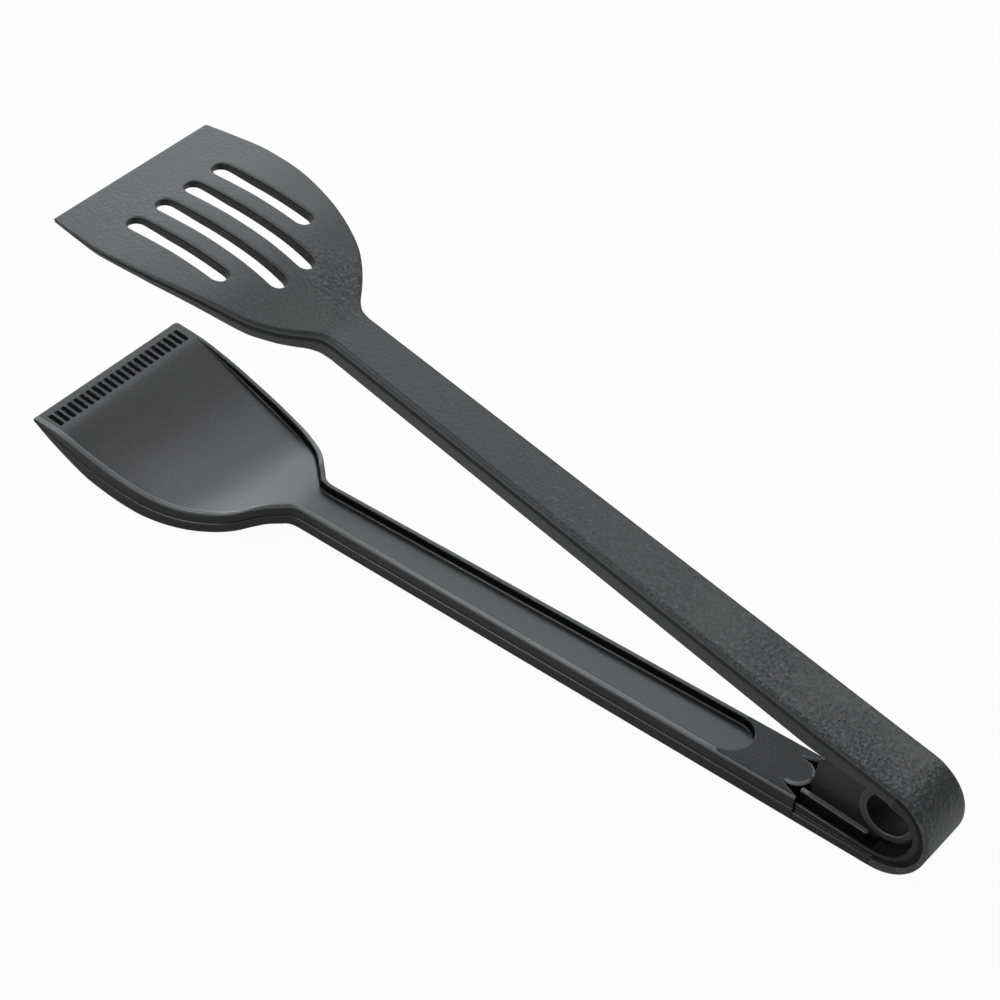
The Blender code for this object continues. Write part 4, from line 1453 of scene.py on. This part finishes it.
@dataclass
class SpringMoulding(Moulding):
    """The upper moulding: an open tail tray, the U-bend, the arm and the slotted turner."""

    reach: float = 0.2857
    length: float = 0.0844
    half_width: float = 0.0350
    outline: Curve = Curve((
        (0, 0), (0.03, 0.02), (0.06, 0.09), (0.10, 0.25), (0.145, 0.41), (0.22, 0.60), (0.34, 0.76),
        (0.46, 0.87), (0.58, 0.95), (0.70, 0.99), (0.77, 1.0), (0.88, 0.965), (1, 0.91)))
    origin: float = ARM.bend_radius
    seam: float = 0.0003
    seam_foot: float = 0.0026
    seam_gap: float = 0.00002
    groove: float = 0.0006
    groove_run: float = 0.0026
    edge_round: float = 0.0012
    tail_front: float = 0.0411
    tail_ledge: float = 0.0032
    tail_step: float = 0.005
    tail_top: float = 0.012
    rail_front: float = 0.0060
    rail_rear: float = 0.0047
    rail_step_round: float = 0.0004
    rail_normals: Point = (0.2, 0.9)
    tray_floor: float = 0.0012
    tray_rear: float = 0.0172
    tray_wall_run: float = 0.0007
    bend_ledge: float = 0.0016
    bend_rings: int = 60
    rim_radius_tail: float = 0.0108
    rim_radius_apex: float = 0.0102
    rim_radius_root: float = 0.0088
    bend_well: float = 0.0003
    rim_over_axis: float = 0.0075
    arm_depth: float = 0.0080
    arm_depth_rear: float = 0.0091
    arm_ledge: float = 0.0019
    root_length: float = 0.030
    root_step: float = 0.003
    hump: float = 0.0047
    lip_drop: float = 0.0096
    hump_depth: float = 0.0062
    lip_thickness: float = 0.0016
    lip_lead: float = 0.0012
    skin_depth: float = 0.0036
    least_well: float = 0.00004
    hump_start_to_lip: float = 0.0657
    hump_to_lip: float = 0.0497
    slot_width: float = 0.0060
    slot_pitch: float = 0.0122
    slot_to_lip: float = 0.0158
    slot_inner: float = 0.0473
    slot_outer: float = 0.0357
    slot_round: float = 0.0007
    slot_under_round: float = 0.0004
    slot_arc: int = 14
    slot_over: float = 0.0006
    slot_below: float = 0.0005
    slot_lift: float = 0.00012
    slot_margin: float = 0.0001
    rib_rear: float = 0.0198
    rib_outer: float = 0.0056
    rib_width: float = 0.0018
    rib_top_front: float = 0.0080
    rib_top_rear: float = 0.0062
    rib_edge: float = 0.0004
    rib_overrun: float = 0.0006
    rib_step: float = 0.004
    rib_tip: float = 0.0001
    rib_foot_share: float = 0.6
    rib_edge_share: float = 0.6
    rib_nose_slope: float = 0.5
    rib_top_normal: float = 0.3
    hump_rise: Curve = Curve((
        (0, 0), (0.1, 0.03), (0.29, 0.32), (0.57, 0.73), (0.71, 0.88), (0.86, 0.98), (1, 1)))
    hump_fall: Curve = Curve((
        (0, 0), (0.1, 0.03), (0.3, 0.15), (0.5, 0.365), (0.7, 0.625), (0.9, 0.875), (1, 1)))

    def face_height(self, x: float) -> float:
        """Height of the outer face, which humps up into the turner and falls to its lip.

        Args:
            x: Place along the arm, in the jaw frame.

        Returns:
            The height over the bend's axis.
        """
        top = self.reach - self.hump_to_lip
        rise = self.hump_rise.at(share_along(x, self.start(), top))
        fall = self.hump_fall.at(share_along(x, top, self.reach))
        return self.rim_over_axis + self.arm_depth + self.hump * rise - self.lip_drop * fall

    def depth(self, x: float) -> float:
        """Distance from the outer face to the rims' edge.

        Args:
            x: Place along the arm, in the jaw frame.

        Returns:
            The distance, less at the bend's root and towards the lip.
        """
        hump = self.reach - self.hump_start_to_lip
        arm = mix(self.arm_depth_rear, self.arm_depth, share_along(x, 0, self.start()))
        root_depth = ARM.bend_radius - self.rim_radius_root
        root = (self.arm_depth_rear - root_depth) * (1 - ease(share_along(x, 0, self.root_length)))
        thinner = ease(share_along(x, self.start(), hump))
        lip = share_along(x, hump, self.reach)
        return (arm - root - (self.arm_depth - self.hump_depth) * thinner
                - (self.hump_depth - self.lip_thickness) * lip)

    def floor_depth(self, x: float) -> float:
        """Distance from the outer face to the room's floor inside the rims.

        Args:
            x: Place along the arm, in the jaw frame.

        Returns:
            The distance, never quite down to the rims' edge.
        """
        full = self.arm_depth - ARM.channel_depth
        skin = mix(full, self.skin_depth, ease(share_along(x, self.start(), self.reach - self.hump_to_lip)))
        return min(skin, self.depth(x) - self.least_well)

    def section(self, x: float) -> Section:
        """Cross-section of the arm.

        Args:
            x: Place along the arm, in the jaw frame.

        Returns:
            The section, with depths from the outer face.
        """
        depth, plate, slant = self.depth(x), self.plate_half(x), self.slant(x)
        web = plate - ARM.ledge_width * self.ledge_share(depth, self.arm_depth) * slant
        groove = self.groove * (1 - share_along(x, self.reach - self.hump_to_lip, self.reach))
        ledge = depth * self.arm_ledge / self.arm_depth
        return Section(plate, web, web - ARM.rim_width * slant, ledge, depth, self.floor_depth(x), slant,
                       edge_round=self.edge_round, groove=groove, groove_run=self.groove_run)

    def tail_section(self, x: float) -> Section:
        """Cross-section of the tail tray, or of the solid foot behind it.

        Args:
            x: Place along the tail, in the back frame.

        Returns:
            The section, with depths from the outer face.
        """
        plate = ARM.half_width(x)
        web = plate - ARM.ledge_width
        rim = mix(self.rail_rear, self.rail_front, share_along(x, ARM.bend_radius, self.tail_front))
        wall = ease(share_along(x, self.tray_rear - self.tray_wall_run, self.tray_rear))
        floor = mix(ARM.bend_radius - self.rim_radius_tail - self.bend_well, self.tray_floor, wall)
        return Section(plate, web, web - ARM.rim_width, self.tail_ledge, rim, floor,
                       step_round=self.rail_step_round)

    def bend_section(self, angle: float) -> Section:
        """Cross-section of the strap, which turns from the tail's form into the arm's.

        Args:
            angle: Angle round the bend's axis.

        Returns:
            The section, with depths from the outer face.
        """
        plate = ARM.half_width(ARM.bend_radius)
        web = plate - ARM.ledge_width
        to_apex = ease(share_along(angle, 3 * QUARTER, math.pi))
        to_root = ease(share_along(angle, math.pi, QUARTER + ARM.opening))
        rim = mix(self.rim_radius_tail, self.rim_radius_apex, to_apex)
        rim += (self.rim_radius_root - self.rim_radius_apex) * to_root
        floor = mix(rim + self.bend_well, self.rim_over_axis + ARM.channel_depth, to_root)
        ledge = mix(self.tail_ledge, self.bend_ledge, to_apex)
        ledge = mix(ledge, self.section(0).ledge, to_root)
        return Section(plate, web, web - ARM.rim_width, ledge, ARM.bend_radius - rim, ARM.bend_radius - floor,
                       edge_round=mix(Section.edge_round, self.edge_round, to_root),
                       step_round=mix(self.rail_step_round, Section.step_round, to_root),
                       groove=self.groove * to_root, groove_run=self.groove_run)

    def rings(self, skin: Skin) -> None:
        """Rings from the tail's front, round the bend and along the arm to the turner's lip.

        Args:
            skin: The surface that gets them.
        """
        radius, rear, front = ARM.bend_radius, self.tray_rear, self.tail_front - self.seam
        places = steps(rear, front, self.tail_step)[::-1]
        places += [mix(rear, rear - self.tray_wall_run, i / 6) for i in range(1, 7)] + [radius]
        for x in places:
            near = []
            for y, d in self.tail_section(x).half():
                meets = x == front and d < self.seam_foot
                near.append(Vector((self.tail_front - self.seam_gap if meets else x, y, d)))
            skin.ring(near)
        for i in range(1, self.bend_rings + 1):
            angle = mix(3 * QUARTER, QUARTER + ARM.opening, i / self.bend_rings)
            skin.ring([Vector((radius + (radius - d) * math.cos(angle), y,
                               radius + (radius - d) * math.sin(angle)))
                       for y, d in self.bend_section(angle).half()])
        self.rings_to_lip(skin, steps(0, self.root_length, self.root_step)[1:-1]
                          + self.places_to_head(self.root_length)
                          + steps(self.start() + self.NECK_RUN, self.reach - self.lip_lead, self.HEAD_STEP)
                          + [self.reach - self.lip_round])

    def ring_at(self, skin: Skin, x: float, inset: float = 0.0) -> None:
        """One ring of the arm.

        Args:
            skin: The surface that gets it.
            x: Place along the arm, in the jaw frame.
            inset: How far it is drawn in all round.
        """
        section, face, to_back = self.section(x), self.face_height(x), jaw_in_back()
        narrow = 1 - inset / section.plate
        skin.ring([to_back @ Vector((x, y * narrow, face - d - inset * (1 if d < section.rim / 2 else -1)))
                   for y, d in section.half()])

    def slot_outline(self, rear: float, front: float) -> list[tuple[float, float, float, float]]:
        """Outline of a slot round its own middle line.

        Args:
            rear: Where the slot starts.
            front: Where it ends.

        Returns:
            (x, y, outward x, outward y) of each point.
        """
        radius = self.slot_width / 2
        sides = steps(rear + radius, front - radius, self.HEAD_STEP)
        turns = [math.pi * k / self.slot_arc for k in range(1, self.slot_arc)]
        base = [(x, radius, 0.0, 1.0) for x in sides]
        base += [(front - radius + radius * math.sin(a), radius * math.cos(a), math.sin(a), math.cos(a))
                 for a in turns]
        base += [(x, -radius, 0.0, -1.0) for x in sides[::-1]]
        base += [(rear + radius - radius * math.sin(a), -radius * math.cos(a), -math.sin(a), -math.cos(a))
                 for a in turns]
        return base

    def slots(self) -> bpy.types.Object:
        """Cutter of the four slots, which rounds their edges too.

        Returns:
            The cutter.
        """
        bm = bmesh.new()
        soft, under = self.slot_round, self.slot_under_round
        levels: list[tuple[float, float, bool]] = [(soft + self.slot_over, self.slot_lift, True)]
        levels += [(soft * (1 - math.sin(a)), -soft * (1 - math.cos(a)), True)
                   for a in (math.radians(v) for v in range(18, 91, 18))]
        levels += [(under * (1 - math.sin(a)), under * (1 - math.cos(a)), False)
                   for a in (math.radians(v) for v in range(90, 0, -30))]
        levels += [(under + self.slot_below, -self.slot_lift, False)]
        to_back = jaw_in_back()
        front = self.reach - self.slot_to_lip
        for i in range(4):
            middle = self.slot_pitch * (i - 1.5)
            base = self.slot_outline(front - (self.slot_inner if i in (1, 2) else self.slot_outer), front)
            rings = []
            for grow, lift, upper in levels:
                ring = []
                for x, y, nx, ny in base:
                    px = x + grow * nx
                    z = self.face_height(px) + lift - (0.0 if upper else self.floor_depth(px))
                    ring.append(bm.verts.new(to_back @ Vector((px, middle + y + grow * ny, z))))
                rings.append(ring)
            for a, b in zip(rings, rings[1:]):
                for k in range(len(base)):
                    j = (k + 1) % len(base)
                    facet(bm, (a[k], a[j], b[j], b[k]))
            for ring in (rings[0], rings[-1]):
                self.cap_across(bm, ring, len(base) // 2 - (self.slot_arc - 1))
        return object_from("slots", bm)

    @staticmethod
    def cap_across(bm: bmesh.types.BMesh, ring: Sequence[bmesh.types.BMVert], straight: int) -> None:
        """Closes a slot's ring with strips from one long side to the other.

        Args:
            bm: The shape that gets them.
            ring: The ring.
            straight: How many points each long side has.
        """
        half = len(ring) // 2
        near, far = ring[:straight], ring[half:half + straight][::-1]
        for a, b, c, d in zip(near, near[1:], far[1:], far):
            facet(bm, (a, b, c, d))
        facet(bm, ring[straight - 1:half + 1])
        facet(bm, ring[half + straight - 1:] + [ring[0]])

    def build_whole(self) -> bpy.types.Object:
        """The whole moulding as one surface, with its slots.

        Returns:
            The moulding, its faces numbered by zone.
        """
        skin = Skin("spring_moulding")
        self.rings(skin)
        skin.close(((0, Zone.OUTER), (Column.STEP - 3, Zone.EDGE), (Column.STEP + 1, Zone.GROOVE),
                    (Column.RUN + 3, Zone.SIDE), (Column.INNER_RIM - 1, Zone.INNER)))
        whole = skin.finish()
        carve(whole, self.slots())
        to_jaw = jaw_in_back().inverted()
        front = self.reach - self.slot_to_lip
        reach_y = self.slot_pitch * 1.5 + self.slot_width / 2 + self.slot_margin

        def in_slot(centre: Vector, normal: Vector) -> bool:
            """Whether a face is a slot's wall."""
            c, n = to_jaw @ centre, to_jaw.to_3x3() @ normal
            return front - self.slot_inner < c.x < front and abs(c.y) < reach_y and abs(n.z) < 0.5

        mark(whole, Zone.GROOVE, in_slot)
        return whole

    def build_rib(self, side: int, name: str) -> bpy.types.Object:
        """One of the tray's two inner ribs, which guide the eye plate.

        Args:
            side: 1 for the near one, -1 for the far one.
            name: Its name.

        Returns:
            The rib.
        """
        bm = bmesh.new()
        middle, half = side * (self.rib_outer - self.rib_width / 2), self.rib_width / 2
        nose = self.rib_rear + half
        rings = []
        places = [self.rib_rear + half * (1 - math.sin(QUARTER * i / 5)) for i in range(5, 0, -1)]
        for x in places + steps(nose, self.tail_front + self.rib_overrun, self.rib_step):
            within = half if x >= nose else math.sqrt(max(half ** 2 - (nose - x) ** 2, 0.0))
            within = max(within, self.rib_tip)
            top = mix(self.rib_top_rear, self.rib_top_front, share_along(x, self.rib_rear, self.tail_front))
            top -= (half - within) * self.rib_nose_slope
            edge = min(self.rib_edge, within * self.rib_edge_share)
            outline = [(within, self.tray_floor * self.rib_foot_share)]
            outline += [(within - edge * (1 - math.cos(a)), top - edge * (1 - math.sin(a)))
                        for a in quarter(4)]
            outline += [(-y, z) for y, z in reversed(outline)]
            rings.append([bm.verts.new((x, middle + y, z)) for y, z in outline])
        sew(bm, rings)
        return object_from(name, bm)

    def split(self, whole: bpy.types.Object) -> tuple[bpy.types.Object, bpy.types.Object, bpy.types.Object]:
        """Splits the moulding where the strap bends.

        Args:
            whole: The moulding, which is removed.

        Returns:
            The tail tray, the turner's arm and the strap between them.
        """
        to_jaw = jaw_in_back().inverted()

        def on_tail(p: Vector) -> bool:
            """Whether a face lies on the tail tray."""
            return p.x > ARM.bend_radius and p.z < self.tail_top

        def on_arm(p: Vector) -> bool:
            """Whether a face lies on the turner's arm."""
            q = to_jaw @ p
            return q.x > 0 and q.z > 0

        tail = part_of(whole, "tail_tray", on_tail)
        arm = part_of(whole, "turner_arm", on_arm)
        strap = part_of(whole, "bend_strap", lambda p: not on_tail(p) and not on_arm(p))
        bpy.data.objects.remove(whole, do_unlink=True)
        return tail, arm, strap

    def build(self, palette: Palette) -> None:
        """The whole moulding, dressed and in place.

        Args:
            palette: The finishes.
        """
        whole = self.build_whole()
        even_normals(whole)
        tail, arm, strap = self.split(whole)
        # Tail and strap: painted shade on their sides, grooves and insides; the tail's rails get a painted
        # highlight on their outward slopes that fades out near the bend.
        palette.dress(tail, palette.grained, palette.land, palette.black, palette.land, palette.land)
        low, high = self.rail_normals
        palette.dress_where(tail, palette.rail, lambda c, n: low < n.z < high and n.y * c.y > 0)
        palette.dress(strap, palette.grained, palette.land, palette.black, palette.black, palette.grained)
        # Arm: painted shade in the undercut groove, on the slot walls and underneath, darkening towards the
        # bend and over the turner; painted light on the plate's edge.
        palette.dress(arm, palette.grained, palette.side, palette.hollow, palette.land, palette.grained_edge_painted_light)
        seat(tail, "tail_body")
        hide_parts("tail")
        seat(arm, "jaw_body")
        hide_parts("upper_arm")
        strap.data.transform(Placing().back())
        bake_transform(strap)
        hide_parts("bend_spring")
        LOG.info("%s: %d faces across the joint", strap.name, len(strap.data.polygons))
        for side, name in ((-1, "far_rib"), (1, "near_rib")):
            rib = self.build_rib(side, name)
            even_normals(rib)
            # Painted shade on the ribs' sides and a painted highlight on their tops.
            palette.dress_plain(rib, palette.black)
            palette.dress_where(rib, palette.painted_highlight, lambda c, n: n.z > self.rib_top_normal)
            seat(rib, "tail_body")


# Studio

@dataclass(frozen=True)
class Lamp:
    """A soft studio lamp aimed at the tongs."""

    name: str
    watts: float
    size: Point
    place: Triple
    aim: Triple
    tint: Triple = (1.0, 1.0, 1.0)

    def build(self) -> None:
        """Places the lamp."""
        light = bpy.data.lights.new(self.name, "AREA")
        light.color = self.tint
        light.shape = "RECTANGLE"
        light.energy, light.size, light.size_y = self.watts, *self.size
        obj = linked(self.name, light)
        obj.location = self.place
        obj.rotation_euler = (Vector(self.aim) - obj.location).to_track_quat("-Z", "Y").to_euler()


@dataclass
class Studio:
    """Camera, lamps, world and floor. The camera's place comes from a fit to the photograph's outline."""

    azimuth: float = math.radians(213.43460464693672)
    elevation: float = math.radians(40.921179206403224)
    roll: float = math.radians(5.717341660105134)
    aside: float = -0.11707678158985836
    up: float = 0.10052003300874819
    distance: float = 0.8328906284062703
    focal_share: float = 3.082909180400373
    along: float = 0.0009
    sensor: float = 36.0
    near_clip: float = 0.01
    world_level: float = 0.22
    floor_size: float = 4.0
    floor_grey: float = 0.8
    floor_roughness: float = 0.9
    floor_white_share: float = 0.95
    lamps: tuple[Lamp, ...] = (
        Lamp("key", 3.8, (0.75, 0.50), (0.88, -0.62, 0.42), (0.05, 0.0, 0.03), (0.92, 0.94, 1.0)),
        Lamp("rear", 1.3, (0.34, 0.28), (-0.265, -0.594, 0.70), (-0.13, 0.0, 0.03)),
        Lamp("mirror", 1.2, (0.40, 0.40), (0.45, -0.52, 0.80), (0.1, 0.0, 0.0), (0.92, 0.94, 1.0)),
        Lamp("overhead", 1.1, (0.40, 0.40), (0.25, -0.85, 0.95), (-0.1, 0.0, 0.03)),
        Lamp("front", 3.4, (0.42, 0.28), (0.40, 0.34, 0.82), (0.05, 0.0, 0.03)),
        Lamp("fill", 1.0, (0.50, 0.35), (-0.25, 0.75, 0.75), (-0.08, 0.0, 0.02)),
    )

    def build_camera(self) -> None:
        """The camera at the photograph's place."""
        back = Vector((math.sin(self.azimuth) * math.cos(self.elevation),
                       -math.cos(self.azimuth) * math.cos(self.elevation), math.sin(self.elevation)))
        right = Vector((0, 0, 1)).cross(back).normalized()
        up = back.cross(right)
        c, s = math.cos(self.roll), math.sin(self.roll)
        axes = (right * c + up * s, up * c - right * s, back)
        matrix = Matrix(axes).transposed().to_4x4()
        matrix.translation = (axes[0] * self.aside + axes[1] * self.up + axes[2] * self.distance
                              + Vector((self.along, 0, 0)))
        data = bpy.data.cameras.new("camera")
        data.sensor_width, data.lens = self.sensor, self.sensor * self.focal_share
        data.clip_start = self.near_clip
        camera = linked("camera", data)
        camera.matrix_world = Placing().back() @ matrix
        bpy.context.scene.camera = camera

    def build_world(self) -> None:
        """An even, pale surround, white where the camera sees it."""
        world = bpy.data.worlds.new("surround")
        bpy.context.scene.world = world
        world.use_nodes = True
        n, link = world.node_tree.nodes, world.node_tree.links.new
        light, seen = n["Background"], n.new("ShaderNodeBackground")
        light.inputs["Color"].default_value = (1, 1, 1, 1)
        light.inputs["Strength"].default_value = self.world_level
        seen.inputs["Strength"].default_value = 1.0
        path, choice = n.new("ShaderNodeLightPath"), n.new("ShaderNodeMixShader")
        link(path.outputs["Is Camera Ray"], choice.inputs[0])
        link(light.outputs[0], choice.inputs[1])
        link(seen.outputs[0], choice.inputs[2])
        link(choice.outputs[0], n["World Output"].inputs["Surface"])

    def build_floor(self) -> None:
        """A plain pale floor, nearly white where the camera sees it, that keeps a faint shadow."""
        bm = bmesh.new()
        bmesh.ops.create_grid(bm, x_segments=1, y_segments=1, size=self.floor_size)
        floor = object_from("floor", bm)
        material = bpy.data.materials.new("floor_white")
        material.use_nodes = True
        n, link = material.node_tree.nodes, material.node_tree.links.new
        shader, glow = n["Principled BSDF"], n.new("ShaderNodeEmission")
        shader.inputs["Base Color"].default_value = (self.floor_grey, self.floor_grey, self.floor_grey, 1)
        shader.inputs["Roughness"].default_value = self.floor_roughness
        path, share = n.new("ShaderNodeLightPath"), n.new("ShaderNodeMath")
        choice = n.new("ShaderNodeMixShader")
        share.operation = "MULTIPLY"
        share.inputs[1].default_value = self.floor_white_share
        link(path.outputs["Is Camera Ray"], share.inputs[0])
        link(share.outputs[0], choice.inputs[0])
        link(shader.outputs[0], choice.inputs[1])
        link(glow.outputs[0], choice.inputs[2])
        link(choice.outputs[0], n["Material Output"].inputs["Surface"])
        floor.data.materials.append(material)

    def build(self) -> None:
        """The whole studio."""
        self.build_camera()
        self.build_world()
        self.build_floor()
        for lamp in self.lamps:
            lamp.build()
        bpy.context.scene.view_settings.view_transform = "Standard"


def main() -> None:
    """Builds the studio and the tongs."""
    logging.basicConfig(level=logging.INFO, format="%(name)s %(message)s")
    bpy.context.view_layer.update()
    Studio().build()
    palette = Palette()
    ScoopArm().build(palette)
    SpringMoulding().build(palette)
    bpy.context.view_layer.update()


if __name__ == "__main__":
    main()
